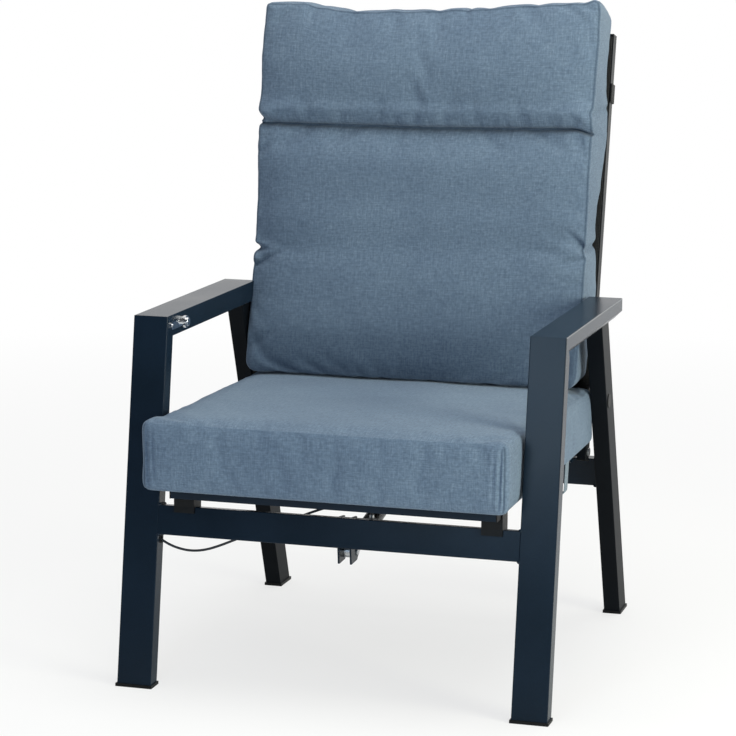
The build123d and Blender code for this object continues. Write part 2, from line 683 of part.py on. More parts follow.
def seat_spring_bracket():
    """Fork under the seat's middle tube for the rear end of the gas spring."""
    cheek_x = SPRING_EYE_WIDTH / 2 + CHEEK_GAP
    half_depth = SEAT_TUBE_WIDTH / 2
    radius = SPRING_PIN_D
    cheek_out = cheek_x + CHEEK_THICKNESS
    fork = None
    for x_low in (-cheek_out, cheek_x):
        box = Box(
            CHEEK_THICKNESS,
            2 * half_depth,
            SPRING_REAR_DROP,
            align=(Align.MIN, Align.CENTER, Align.MIN),
        )
        box = Pos(SPRING_X + x_low, SPRING_REAR_Y, SPRING_REAR_Z) * box
        nose = x_cylinder(
            2 * radius, SPRING_X + x_low, SPRING_X + x_low + CHEEK_THICKNESS, SPRING_REAR_Y, SPRING_REAR_Z
        )
        taper = side_prism(
            [
                (SPRING_REAR_Y - half_depth, SEAT_BOTTOM_Z),
                (SPRING_REAR_Y - radius, SPRING_REAR_Z),
                (SPRING_REAR_Y + radius, SPRING_REAR_Z),
                (SPRING_REAR_Y + half_depth, SEAT_BOTTOM_Z),
            ],
            SPRING_X + x_low,
            SPRING_X + x_low + CHEEK_THICKNESS,
        )
        cheek = (box & taper) + nose
        fork = cheek if fork is None else fork + cheek
    base = Box(2 * cheek_out, 2 * half_depth, CHEEK_THICKNESS, align=(Align.CENTER, Align.CENTER, Align.MAX))
    fork = fork + Pos(SPRING_X, SPRING_REAR_Y, SEAT_BOTTOM_Z) * base
    pin_hole = x_cylinder(
        SPRING_PIN_D + 2 * RUNNING_FIT,
        SPRING_X - cheek_out,
        SPRING_X + cheek_out,
        SPRING_REAR_Y,
        SPRING_REAR_Z,
    )
    return fork - pin_hole


def clevis_pin(half_length, y, z):
    """Pin along X through a fork, with a head at each end."""
    low, high = SPRING_X - half_length, SPRING_X + half_length
    pin = x_cylinder(SPRING_PIN_D, low, high, y, z)
    pin = pin + x_cylinder(PIN_HEAD_D, low - PIN_HEAD, low, y, z)
    return pin + x_cylinder(PIN_HEAD_D, high, high + PIN_HEAD, y, z)


def seat_frame():
    """Tubes, plugs, sling and plates of the sliding seat."""
    mid_z = SEAT_BOTTOM_Z + SEAT_TUBE_HEIGHT / 2
    side_y = SEAT_FRONT_Y + SEAT_TUBE_WIDTH
    side_length = SEAT_SIDE_END_Y - side_y
    side = upright_tube(SEAT_TUBE_WIDTH, SEAT_TUBE_HEIGHT, side_length, SEAT_TUBE_WALL)
    side = Pos(SEAT_TUBE_X, side_y, mid_z) * Rot(X=-90) * side
    add_pair("seat_side_tube", side)
    front = lying_tube(2 * SEAT_HALF_WIDTH, SEAT_TUBE_WIDTH, SEAT_TUBE_HEIGHT, SEAT_TUBE_WALL)
    parts["seat_front_tube"] = Pos(0, SEAT_FRONT_Y + SEAT_TUBE_WIDTH / 2, mid_z) * front
    cross = lying_tube(2 * SEAT_INNER_X, SEAT_TUBE_WIDTH, SEAT_TUBE_HEIGHT, SEAT_TUBE_WALL)
    parts["seat_middle_tube"] = Pos(0, SEAT_MID_Y + SEAT_TUBE_WIDTH / 2, mid_z) * cross
    parts["seat_rear_tube"] = Pos(0, SEAT_REAR_Y + SEAT_TUBE_WIDTH / 2, mid_z) * cross
    add_both("seat_tube_plugs", *seat_tube_plugs(mid_z))
    parts["seat_sling"] = seat_sling()
    add_pair("seat_hinge_plate", seat_hinge_plate())
    parts["seat_spring_bracket"] = seat_spring_bracket()
    half = SPRING_EYE_WIDTH / 2 + CHEEK_GAP + CHEEK_THICKNESS
    parts["spring_pin_rear"] = clevis_pin(half, SPRING_REAR_Y, SPRING_REAR_Z)


def seat_tube_plugs(mid_z):
    """Plastic plugs in the two ends of the front tube and the rear ends of the sides."""
    less = 2 * (SEAT_TUBE_WALL + PLUG_FIT)
    plate = Box(
        SEAT_PLUG_THICKNESS,
        SEAT_TUBE_WIDTH,
        SEAT_TUBE_HEIGHT,
        align=(Align.MIN, Align.CENTER, Align.CENTER),
    )
    stem = Box(
        PLUG_LENGTH,
        SEAT_TUBE_WIDTH - less,
        SEAT_TUBE_HEIGHT - less,
        align=(Align.MAX, Align.CENTER, Align.CENTER),
    )
    plug = plate + stem
    front = Pos(SEAT_HALF_WIDTH, SEAT_FRONT_Y + SEAT_TUBE_WIDTH / 2, mid_z) * plug
    rear = Pos(SEAT_TUBE_X, SEAT_SIDE_END_Y, mid_z) * Rot(Z=90) * plug
    return front, rear


def seat_sling():
    """Fabric stretched over the seat frame."""
    width = 2 * (SEAT_HALF_WIDTH - SLING_INSET)
    depth = SEAT_SIDE_END_Y - SEAT_FRONT_Y - 2 * SLING_INSET
    sheet = Box(width, depth, SLING_THICKNESS, align=(Align.CENTER, Align.MIN, Align.MIN))
    return Pos(0, SEAT_FRONT_Y + SLING_INSET, SEAT_TOP_Z) * sheet


# Back frame


def back_place(x, z, behind):
    """Place on the back frame at height z on its centre line, moved behind it."""
    return Pos(x, back_y(z), z) * Rot(X=-BACK_LEAN) * Pos(0, behind, 0)


def back_side_tube():
    """Right side tube of the back frame."""
    tube = upright_tube(BACK_TUBE_WIDTH, BACK_TUBE_DEPTH, BACK_LENGTH, BACK_TUBE_WALL)
    tube = back_place(BACK_TUBE_X, BACK_FOOT_Z, 0) * tube
    bolt_hole = x_cylinder(
        HINGE_BOLT_D + 2 * RUNNING_FIT,
        BACK_INNER_X - OVERRUN,
        BACK_HALF_WIDTH + OVERRUN,
        HINGE_Y,
        HINGE_Z,
    )
    return tube - bolt_hole


def back_tube_plugs():
    """Plastic plugs in both ends of the back's side tubes."""
    less = 2 * (BACK_TUBE_WALL + PLUG_FIT)
    plate = Box(BACK_TUBE_WIDTH, BACK_TUBE_DEPTH, SEAT_PLUG_THICKNESS, align=ON_TOP)
    stem_length = BACK_FOOT_BELOW_HINGE / 2
    stem = Box(
        BACK_TUBE_WIDTH - less,
        BACK_TUBE_DEPTH - less,
        stem_length,
        align=(Align.CENTER, Align.CENTER, Align.MAX),
    )
    plug = plate + stem
    top = back_place(BACK_TUBE_X, BACK_FOOT_Z, 0) * Pos(0, 0, BACK_LENGTH) * plug
    foot = back_place(BACK_TUBE_X, BACK_FOOT_Z, 0) * Rot(X=180) * plug
    return top, foot


def pivot_plate():
    """Plate welded on the right back tube that reaches forward to the pivot."""
    low_z = PIVOT_Z - PIVOT_PLATE_REACH
    high_z = PIVOT_Z + PIVOT_PLATE_REACH
    half = BACK_TUBE_DEPTH / 2 / cos(BACK_ANGLE) - TUBE_CORNER
    pad = [
        (back_y(low_z) + half, low_z),
        (back_y(low_z) - half, low_z),
        (PIVOT_Y, PIVOT_Z - PIVOT_PLATE_RADIUS),
        (PIVOT_Y, PIVOT_Z + PIVOT_PLATE_RADIUS),
        (back_y(high_z) - half, high_z),
        (back_y(high_z) + half, high_z),
    ]
    plate = side_prism(pad, BACK_HALF_WIDTH, PLATE_OUTER_X)
    plate = plate + x_cylinder(
        2 * PIVOT_PLATE_RADIUS, BACK_HALF_WIDTH, PLATE_OUTER_X, PIVOT_Y, PIVOT_Z
    )
    return plate - pivot_cone(RUNNING_FIT)


def pivot_cone(room):
    """Countersunk head and first stretch of the right pivot bolt, grown by room."""
    cone = Cone(
        PIVOT_HEAD_D / 2 + room, PIVOT_BOLT_D / 2 + room, PIVOT_PLATE_THICKNESS, align=ON_TOP
    )
    return Pos(BACK_HALF_WIDTH, PIVOT_Y, PIVOT_Z) * Rot(Y=90) * cone


def pivot_set():
    """Pivot bolts, their spacers and nuts inside the rear legs, and the caps of the access holes."""
    nut_start = REAR_LEG_INNER_X + FRAME_WALL
    nut_end = nut_start + PIVOT_NUT_HEIGHT
    bolt = pivot_cone(0) + x_cylinder(
        PIVOT_BOLT_D, PLATE_OUTER_X, nut_end + PIVOT_END, PIVOT_Y, PIVOT_Z
    )
    bore = PIVOT_BOLT_D + 2 * RUNNING_FIT
    spacer = x_ring(
        PIVOT_SPACER_D, bore, PLATE_OUTER_X + HINGE_GAP, REAR_LEG_INNER_X, PIVOT_Y, PIVOT_Z
    )
    nut = x_nut(PIVOT_NUT_ACROSS, bore, nut_start, nut_end, PIVOT_Y, PIVOT_Z)
    cap_end = REAR_LEG_OUTER_X + PIVOT_CAP_THICKNESS
    cap = x_cylinder(PIVOT_CAP_D, REAR_LEG_OUTER_X, cap_end, PIVOT_Y, PIVOT_Z)
    cap = fillet(cap.edges().filter_by(GeomType.CIRCLE).sort_by(Axis.X)[-1], PIVOT_CAP_ROUND)
    stem_d = PIVOT_ACCESS_D - 2 * PLUG_FIT
    cap = cap + x_ring(
        stem_d,
        stem_d - 2 * PIVOT_CAP_WALL,
        REAR_LEG_OUTER_X - PIVOT_CAP_STEM,
        REAR_LEG_OUTER_X,
        PIVOT_Y,
        PIVOT_Z,
    )
    add_both("pivot_bolts", bolt, nut)
    add_both("pivot_spacers", spacer)
    add_both("pivot_caps", cap)


def hinge_set():
    """Bolts, washers and nuts that join the back's feet to the seat's hinge plates."""
    washer_x = SEAT_HALF_WIDTH + HINGE_PLATE_THICKNESS + HINGE_GAP
    nut_high = SEAT_HALF_WIDTH - HINGE_GAP
    nut_low = nut_high - HINGE_NUT_HEIGHT
    bolt = x_cylinder(
        HINGE_HEAD_D, BACK_HALF_WIDTH, BACK_HALF_WIDTH + HINGE_HEAD, HINGE_Y, HINGE_Z
    )
    bolt = bolt + x_cylinder(
        HINGE_BOLT_D, nut_low - PIVOT_END, BACK_HALF_WIDTH, HINGE_Y, HINGE_Z
    )
    bore = HINGE_BOLT_D + 2 * RUNNING_FIT
    washer = x_ring(HINGE_WASHER_D, bore, washer_x, BACK_INNER_X, HINGE_Y, HINGE_Z)
    nut = x_nut(HINGE_NUT_ACROSS, bore, nut_low, nut_high, HINGE_Y, HINGE_Z)
    add_both("hinge_bolts", bolt, nut)
    add_both("hinge_washers", washer)


def back_sling():
    """Fabric stretched over the front of the back frame."""
    length = (BACK_TOP_Z - BACK_SLING_BOTTOM_Z) / cos(BACK_ANGLE) - BACK_SLING_EDGE
    sheet = Box(2 * (BACK_HALF_WIDTH - BACK_SLING_EDGE), SLING_THICKNESS, length, align=ON_TOP)
    behind = -(BACK_TUBE_DEPTH + SLING_THICKNESS) / 2
    return back_place(0, BACK_SLING_BOTTOM_Z, behind) * sheet


def back_frame():
    """Tubes, sling and plates of the reclining back."""
    add_pair("back_side_tube", back_side_tube())
    cross = lying_tube(2 * BACK_INNER_X, BACK_TUBE_DEPTH, BACK_CROSS_HEIGHT, BACK_TUBE_WALL)
    top = Pos(0, 0, BACK_LENGTH - BACK_CROSS_HEIGHT / 2)
    parts["back_top_tube"] = back_place(0, BACK_FOOT_Z, 0) * top * cross
    parts["back_lower_tube"] = back_place(0, BACK_LOWER_CROSS_Z, 0) * cross
    add_both("back_tube_plugs", *back_tube_plugs())
    parts["back_sling"] = back_sling()
    add_pair("back_pivot_plate", pivot_plate())


def cushion_strap():
    """Elastic strap from the cushion's edges round the back of the frame."""
    outer_x = BACK_HALF_WIDTH + CUSHION_GAP + STRAP_THICKNESS
    rear = BACK_TUBE_DEPTH / 2 + CUSHION_GAP + STRAP_THICKNESS
    front = CUSHION_GAP - BACK_FACE_GAP
    corner = 2 * STRAP_THICKNESS
    outer = Box(2 * outer_x, rear - front, STRAP_WIDTH, align=(Align.CENTER, Align.MAX, Align.CENTER))
    outer = fillet(outer.edges().filter_by(Axis.Z).group_by(Axis.Y)[-1], corner)
    inner = Box(
        2 * (outer_x - STRAP_THICKNESS),
        rear - front,
        STRAP_WIDTH,
        align=(Align.CENTER, Align.MAX, Align.CENTER),
    )
    inner = fillet(inner.edges().filter_by(Axis.Z).group_by(Axis.Y)[-1], TUBE_CORNER)
    band = Pos(0, rear, 0) * outer - Pos(0, rear - STRAP_THICKNESS, 0) * inner
    return back_place(0, STRAP_Z, 0) * band


# Gas spring and release


def along_spring(shape, start):
    """Place a shape made along Z on the gas spring's axis."""
    return SPRING_AXIS * Pos(0, 0, start) * shape


def cross_bore(diameter, width, start):
    """Round bar across the gas spring, along X."""
    bar = Cylinder(diameter / 2, width)
    return along_spring(Rot(Y=90) * bar, start)


def release_head():
    """Forked head on the rod, pinned in the front bracket."""
    radius = SPRING_HEAD_HEIGHT / 2
    body = Box(SPRING_HEAD_WIDTH, SPRING_HEAD_HEIGHT, SPRING_HEAD_LENGTH, align=ON_TOP)
    head = along_spring(body, 0) + cross_bore(2 * radius, SPRING_HEAD_WIDTH, 0)
    head = head - cross_bore(SPRING_PIN_D + 2 * RUNNING_FIT, 2 * SPRING_HEAD_WIDTH, 0)
    rod_seat = Cylinder(SPRING_ROD_D / 2 + RUNNING_FIT, SPRING_ROD_SEAT, align=ON_TOP)
    return head - along_spring(rod_seat, SPRING_HEAD_LENGTH - SPRING_ROD_SEAT)


def gas_spring():
    """Rod, piston, guide, cylinder and rear eye of the gas spring."""
    rod_start = SPRING_HEAD_LENGTH - SPRING_ROD_SEAT
    inner_r = SPRING_CYLINDER_D / 2 - SPRING_CYLINDER_WALL
    piston_start = CYLINDER_START + SPRING_GUIDE_LENGTH + OVERRUN / 2
    rod_end = piston_start + SPRING_PISTON_LENGTH
    parts["release_head"] = release_head()
    rod = Cylinder(SPRING_ROD_D / 2, rod_end - rod_start, align=ON_TOP)
    parts["gas_spring_rod"] = along_spring(rod, rod_start)
    piston = Cylinder(inner_r - RUNNING_FIT, SPRING_PISTON_LENGTH, align=ON_TOP)
    piston = piston - Cylinder(SPRING_ROD_D / 2 + RUNNING_FIT, SPRING_PISTON_LENGTH, align=ON_TOP)
    parts["gas_spring_piston"] = along_spring(piston, piston_start)
    guide = Cylinder(inner_r - RUNNING_FIT, SPRING_GUIDE_LENGTH, align=ON_TOP)
    guide = guide - Cylinder(SPRING_ROD_D / 2 + RUNNING_FIT, SPRING_GUIDE_LENGTH, align=ON_TOP)
    parts["gas_spring_guide"] = along_spring(guide, CYLINDER_START)
    length = CYLINDER_END - CYLINDER_START
    cylinder = Cylinder(SPRING_CYLINDER_D / 2, length, align=ON_TOP)
    bore = Cylinder(inner_r, length - SPRING_PLUG_LENGTH, align=ON_TOP)
    parts["gas_spring_cylinder"] = along_spring(cylinder - bore, CYLINDER_START)
    parts["gas_spring_rear_eye"] = rear_eye()


def rear_eye():
    """Eye on the end of the cylinder, with room round the pin for the open pivot."""
    stem = Box(SPRING_EYE_WIDTH, SPRING_EYE_WIDTH, SPRING_END_LENGTH, align=ON_TOP)
    eye = along_spring(stem, CYLINDER_END) + cross_bore(
        SPRING_EYE_D, SPRING_EYE_WIDTH, SPRING_LENGTH
    )
    return eye - cross_bore(SPRING_PIN_D + 2 * OPEN_PIVOT_FIT, 2 * SPRING_EYE_WIDTH, SPRING_LENGTH)


def bracket_outline():
    """Side view of a cheek, from the rear face of the front rail to its nose."""
    top = on_rail(RAIL_DEPTH, RAIL_HEIGHT)
    low = on_rail(RAIL_DEPTH, 0)
    return [
        top,
        low,
        (low[0] + CHEEK_THICKNESS, SPRING_PIN_Z - BRACKET_DROP),
        (SPRING_PIN_Y, SPRING_PIN_Z - BRACKET_NOSE_R),
        (SPRING_PIN_Y + BRACKET_NOSE_R, SPRING_PIN_Z),
        (top[0] + BRACKET_SHOULDER_Y, top[1] - CHEEK_THICKNESS),
    ]


def spring_bracket():
    """Welded bracket behind the front rail: fork, web and cable stop."""
    outline = bracket_outline()
    low_x = SPRING_X - CHEEK_X - CHEEK_THICKNESS
    high_x = SPRING_X + CHEEK_X
    bracket = side_prism(outline, low_x, low_x + CHEEK_THICKNESS)
    bracket = bracket + side_prism(outline, high_x, high_x + CHEEK_THICKNESS)
    stop_x = WIRE_X + STOP_PLATE_WIDTH / 2
    web = [
        on_rail(RAIL_DEPTH, 0),
        on_rail(RAIL_DEPTH, RAIL_HEIGHT),
        on_rail(RAIL_DEPTH + CHEEK_THICKNESS, RAIL_HEIGHT),
        on_rail(RAIL_DEPTH + CHEEK_THICKNESS, 0),
    ]
    bracket = bracket + side_prism(web, low_x, stop_x)
    web_y = on_rail(RAIL_DEPTH, RAIL_HEIGHT)[0]
    tab = Box(
        STOP_PLATE_WIDTH,
        WIRE_Y + STOP_PLATE_REACH - web_y,
        CHEEK_THICKNESS,
        align=(Align.CENTER, Align.MIN, Align.MIN),
    )
    bracket = bracket + Pos(WIRE_X, web_y, STOP_PLATE_Z) * tab
    bracket = bracket - x_cylinder(
        SPRING_PIN_D + 2 * RUNNING_FIT,
        low_x,
        high_x + CHEEK_THICKNESS,
        SPRING_PIN_Y,
        SPRING_PIN_Z,
    )
    ferrule_hole = Cylinder(FERRULE_D / 2 + PLUG_FIT, CHEEK_THICKNESS, align=ON_TOP)
    return bracket - Pos(WIRE_X, WIRE_Y, STOP_PLATE_Z) * ferrule_hole


def lever_pin():
    """Bearing pin of the release lever, riveted to the fork's right cheek."""
    start = SPRING_X + CHEEK_X + CHEEK_THICKNESS
    end = start + LEVER_THICKNESS + 2 * CHEEK_GAP
    pin = x_cylinder(LEVER_PIN_D, start, end, LEVER_PIVOT_Y, LEVER_PIVOT_Z)
    return pin + x_cylinder(2 * LEVER_PIN_D, end, end + PIN_HEAD, LEVER_PIVOT_Y, LEVER_PIVOT_Z)


def release_lever():
    """Lever with a cross arm that the cable's nipple lifts."""
    low_x = SPRING_X + CHEEK_X + CHEEK_THICKNESS + CHEEK_GAP
    high_x = low_x + LEVER_THICKNESS
    end_z = NIPPLE_Z + NIPPLE_D / 2 + NIPPLE_FIT + LEVER_END_R
    plate = side_prism(
        [
            (LEVER_PIVOT_Y, LEVER_PIVOT_Z - LEVER_HUB_R),
            (WIRE_Y, end_z - LEVER_END_R),
            (WIRE_Y, end_z + LEVER_END_R),
            (LEVER_PIVOT_Y, LEVER_PIVOT_Z + LEVER_HUB_R),
        ],
        low_x,
        high_x,
    )
    plate = plate + x_cylinder(2 * LEVER_HUB_R, low_x, high_x, LEVER_PIVOT_Y, LEVER_PIVOT_Z)
    arm_end = WIRE_X + LEVER_END_R
    plate = plate + x_cylinder(2 * LEVER_END_R, low_x, arm_end, WIRE_Y, end_z)
    plate = plate - x_cylinder(
        LEVER_PIN_D + 2 * RUNNING_FIT, low_x, high_x, LEVER_PIVOT_Y, LEVER_PIVOT_Z
    )
    slot_width = WIRE_D + 2 * WIRE_FIT
    slot = Box(
        slot_width,
        LEVER_ARM_REACH,
        4 * LEVER_END_R,
        align=(Align.CENTER, Align.MIN, Align.CENTER),
    )
    return plate - Pos(WIRE_X, WIRE_Y - slot_width / 2, end_z) * slot


def release_wire():
    """End of the inner wire with its nipple, which draws up into the ferrule."""
    top_z = FERRULE_TOP_Z - 2 * BUTTON_TRAVEL + FERRULE_BELOW
    wire = Pos(WIRE_X, WIRE_Y, NIPPLE_Z) * Cylinder(WIRE_D / 2, top_z - NIPPLE_Z, align=ON_TOP)
    return wire + Pos(WIRE_X, WIRE_Y, NIPPLE_Z) * Sphere(NIPPLE_D / 2)


def cable_ferrule():
    """Ferrule in the stop plate, in which the cable's sheath ends."""
    low_z = STOP_PLATE_Z - FERRULE_BELOW
    ring = Cylinder(FERRULE_D / 2, FERRULE_TOP_Z - low_z, align=ON_TOP)
    flange_d = FERRULE_D + 2 * FERRULE_FLANGE
    flange = Cylinder(flange_d / 2, WIRE_D, align=ON_TOP)
    ferrule = ring + Pos(0, 0, STOP_PLATE_Z + CHEEK_THICKNESS - low_z) * flange
    bore = Cylinder(WIRE_D / 2 + WIRE_FIT, FERRULE_TOP_Z - low_z, align=ON_TOP)
    return Pos(WIRE_X, WIRE_Y, low_z) * (ferrule - bore)


def release_cable():
    """Sheath of the release cable along its route, as straight runs and tangent arcs."""
    points = [Vector(*point) for point in CABLE_POINTS]
    radii = []
    for before, here, after in zip(points, points[1:], points[2:]):
        into, out = here - before, after - here
        turn = radians(into.get_angle(out))
        run = min(into.length, out.length)
        radii.append(CABLE_ARC_SHARE * run / tan(turn / 2))
    path = FilletPolyline(*points, radius=radii)
    section = Plane(origin=path @ 0, z_dir=path % 0) * Circle(CABLE_D / 2)
    cable = sweep(section, path=path)
    length = path.length
    print("cable length", round(length, 1), "least radius", round(min(radii), 1))
    print("cable radii", [round(radius) for radius in radii])
    print("cable volume over section times length", round(cable.volume / (section.area * length), 4))
    return cable


def grommet():
    """Rubber grommet where the cable leaves the leg."""
    y, z = cable_crossing(-ARM_INNER_X)
    bush_d = GROMMET_BORE + 2 * GROMMET_WALL
    bush = x_cylinder(bush_d, -ARM_INNER_X - FRAME_WALL, -ARM_INNER_X, y, z)
    flange = x_cylinder(GROMMET_FLANGE_D, -ARM_INNER_X, -ARM_INNER_X + GROMMET_FLANGE, y, z)
    bore = x_cylinder(
        GROMMET_BORE, -ARM_INNER_X - FRAME_WALL, -ARM_INNER_X + GROMMET_FLANGE, y, z
    )
    return bush + flange - bore


def button_housing():
    """Housing with bezel, collar, barrel and the boss that takes the cable."""
    face_x = -ARM_INNER_X
    deep_x = face_x - BUTTON_INSIDE - BUTTON_BACK_ROOM
    front_y = BEZEL_FRONT_Y + BEZEL_HEIGHT / 2
    plate = SlotCenterToCenter(BUTTON_Y - front_y, BEZEL_HEIGHT)
    mid_y = (BUTTON_Y + front_y) / 2
    housing = Pos(face_x, mid_y, ARM_MID_Z) * extrude(Plane.YZ * plate, amount=BEZEL_THICKNESS)
    collar_x = face_x + BEZEL_THICKNESS + HOUSING_COLLAR
    housing = housing + x_cylinder(HOUSING_COLLAR_D, face_x, collar_x, BUTTON_Y, ARM_MID_Z)
    housing = housing + x_cylinder(
        HOUSING_BARREL_D, deep_x - HOUSING_END, face_x, BUTTON_Y, ARM_MID_Z
    )
    cable_x, cable_y, cable_z = CABLE_POINTS[0]
    boss = Box(
        CABLE_BOSS,
        BUTTON_Y - cable_y,
        CABLE_BOSS,
        align=(Align.CENTER, Align.MIN, Align.CENTER),
    )
    housing = housing + Pos(cable_x, cable_y, cable_z) * boss
    bore = x_cylinder(BUTTON_D + 2 * RUNNING_FIT, deep_x, collar_x, BUTTON_Y, ARM_MID_Z)
    return housing - bore - housing_screw(PLUG_FIT)


def housing_screw(room):
    """Screw at the bezel's front end, grown by room."""
    y = BEZEL_FRONT_Y + BEZEL_HEIGHT / 2
    face_x = -ARM_INNER_X + BEZEL_THICKNESS
    shank = x_cylinder(
        HOUSING_SCREW_SHANK_D + 2 * room, face_x - HOUSING_SCREW_LENGTH, face_x, y, ARM_MID_Z
    )
    if room:
        return shank
    head = x_cylinder(HOUSING_SCREW_D, face_x, face_x + HOUSING_SCREW_HEAD, y, ARM_MID_Z)
    return shank + head


def release_button():
    """Push button with a rounded rim."""
    face_x = -ARM_INNER_X + BUTTON_PROUD
    button = x_cylinder(BUTTON_D, -ARM_INNER_X - BUTTON_INSIDE, face_x, BUTTON_Y, ARM_MID_Z)
    rim = button.edges().filter_by(GeomType.CIRCLE).sort_by(Axis.X)[-1]
    return fillet(rim, BUTTON_EDGE)


def release():
    """Everything from the button to the lever at the gas spring."""
    parts["button_housing"] = button_housing()
    parts["housing_screw"] = housing_screw(0)
    parts["release_button"] = release_button()
    screw_hole = housing_screw(PLUG_FIT)
    parts["front_leg_left"] = parts["front_leg_left"] - screw_hole
    parts["armrest_left"] = parts["armrest_left"] - screw_hole
    parts["cable_grommet"] = grommet()
    parts["release_cable"] = release_cable()
    parts["cable_ferrule"] = cable_ferrule()
    parts["release_wire"] = release_wire()
    parts["release_lever"] = release_lever()
    parts["lever_pin"] = lever_pin()
    parts["spring_bracket"] = spring_bracket()
    parts["spring_pin_front"] = clevis_pin(CHEEK_X + CHEEK_THICKNESS, SPRING_PIN_Y, SPRING_PIN_Z)


# Cushions


def cushion_face(plane, half_width, low, high, crown, bulge):
    """Closed section of a cushion: low and high edges, crowned on the high side."""
    edge = half_width - bulge
    middle = (low + high) / 2
    outline = [
        Line((-edge, low), (edge, low)),
        ThreePointArc((edge, low), (half_width, middle), (edge, high)),
        ThreePointArc((edge, high), (0, high + crown), (-edge, high)),
        ThreePointArc((-edge, high), (-half_width, middle), (-edge, low)),
    ]
    return plane * make_face(outline)


def seat_cushion():
    """Seat cushion: sections across the chair from front to rear."""
    sections = []
    for depth, top, bottom, width, crown in SEAT_CUSHION_SHARES:
        y = SEAT_CUSHION_FRONT_Y + depth * SEAT_CUSHION_DEPTH
        plane = Plane(origin=(0, y, SEAT_CUSHION_BOTTOM_Z), x_dir=(1, 0, 0), z_dir=(0, -1, 0))
        sections.append(
            cushion_face(
                plane,
                width * SEAT_CUSHION_HALF_WIDTH,
                bottom * SEAT_CUSHION_THICKNESS,
                top * SEAT_CUSHION_THICKNESS,
                crown * SEAT_CUSHION_CROWN,
                SEAT_CUSHION_BULGE,
            )
        )
    return loft(sections, ruled=True)


def back_cushion():
    """Back cushion: level sections from bottom to top, flat against the sling."""
    sections = []
    for height, front, rear, width, crown in BACK_CUSHION_SHARES:
        z = BACK_CUSHION_BOTTOM_Z + height * BACK_CUSHION_HEIGHT
        rear_y = back_y(z) - BACK_FACE_GAP / cos(BACK_ANGLE)
        plane = Plane(origin=(0, rear_y, z), x_dir=(-1, 0, 0), z_dir=(0, 0, 1))
        sections.append(
            cushion_face(
                plane,
                width * BACK_CUSHION_HALF_WIDTH,
                rear * BACK_CUSHION_THICKNESS,
                front * BACK_CUSHION_THICKNESS,
                crown * BACK_CUSHION_CROWN,
                BACK_CUSHION_BULGE,
            )
        )
    return loft(sections, ruled=True)


def cushion_tie():
    """Strap under the seat cushion, slack round the right seat tube."""
    inner_x = SEAT_INNER_X - CUSHION_GAP - TIE_THICKNESS
    outer_x = SEAT_HALF_WIDTH + TIE_OUT
    low_z = SEAT_BOTTOM_Z - TIE_DROP
    outline = [
        (inner_x, SEAT_TOP_Z),
        (inner_x, low_z),
        (outer_x, low_z),
        (outer_x, SEAT_CUSHION_BOTTOM_Z),
    ]
    band = make_face(
        FilletPolyline(
            *outline,
            (outer_x - TIE_THICKNESS, SEAT_CUSHION_BOTTOM_Z),
            (outer_x - TIE_THICKNESS, low_z + TIE_THICKNESS),
            (inner_x + TIE_THICKNESS, low_z + TIE_THICKNESS),
            (inner_x + TIE_THICKNESS, SEAT_TOP_Z),
            radius=[0, TIE_OUT, TIE_OUT, 0, 0, TIE_OUT - TIE_THICKNESS, TIE_OUT - TIE_THICKNESS, 0],
            close=True,
        )
    )
    return arm_prism(band, TIE_Y, TIE_Y + TIE_WIDTH)


def cushions():
    """Cushions with their strap and ties."""
    parts["seat_cushion"] = seat_cushion()
    parts["back_cushion"] = back_cushion()
    parts["cushion_strap"] = cushion_strap()
    add_both("cushion_ties", cushion_tie())


def main():
    """Build every piece, move it to the chair's origin and write it."""
    side_frames()
    rails()
    seat_frame()
    back_frame()
    pivot_set()
    hinge_set()
    gas_spring()
    release()
    cushions()
    os.makedirs("parts", exist_ok=True)
    for name, shape in parts.items():
        moved = [Pos(0, -ORIGIN_Y, 0) * solid for solid in shape.solids()]
        export_step(Compound(moved), "parts/" + name + ".step")
    end = SPRING_REAR_Y - SEAT_TRAVEL - SPRING_PIN_Y
    rise = SPRING_REAR_Z - SPRING_PIN_Z
    print("nodes", len(parts))
    print("origin y", ORIGIN_Y)
    print("pivot", PIVOT_Y - ORIGIN_Y, PIVOT_Z)
    print("hinge", HINGE_Y - ORIGIN_Y, HINGE_Z)
    print("hinge dip", HINGE_DIP, "rise", HINGE_RISE)
    print("seat travel", SEAT_TRAVEL)
    print("spring pin", SPRING_PIN_Y - ORIGIN_Y, SPRING_PIN_Z)
    print("spring length", SPRING_LENGTH, "reclined", hypot(end, rise))
    print("spring angle", degrees(SPRING_ANGLE), "reclined", degrees(atan2(rise, end)))
    print("lever pivot", LEVER_PIVOT_Y - ORIGIN_Y, LEVER_PIVOT_Z)
    print("button", BUTTON_Y - ORIGIN_Y, ARM_MID_Z)



main()
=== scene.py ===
"""Reclining patio lounge chair, dressed over its CAD frame.

The metal, plastic and rubber pieces are the CAD solids with their real finishes. The cushions,
slings, straps, release cable and weld beads are made here, in metres, in the CAD's own frame:
the sitter faces -Y, +X is on the right of the photograph and the floor is at Z = 0.
"""

import json
import logging
import math
from dataclasses import dataclass, field
from enum import Enum
from typing import Sequence

import bpy
from mathutils import Matrix, Vector, noise

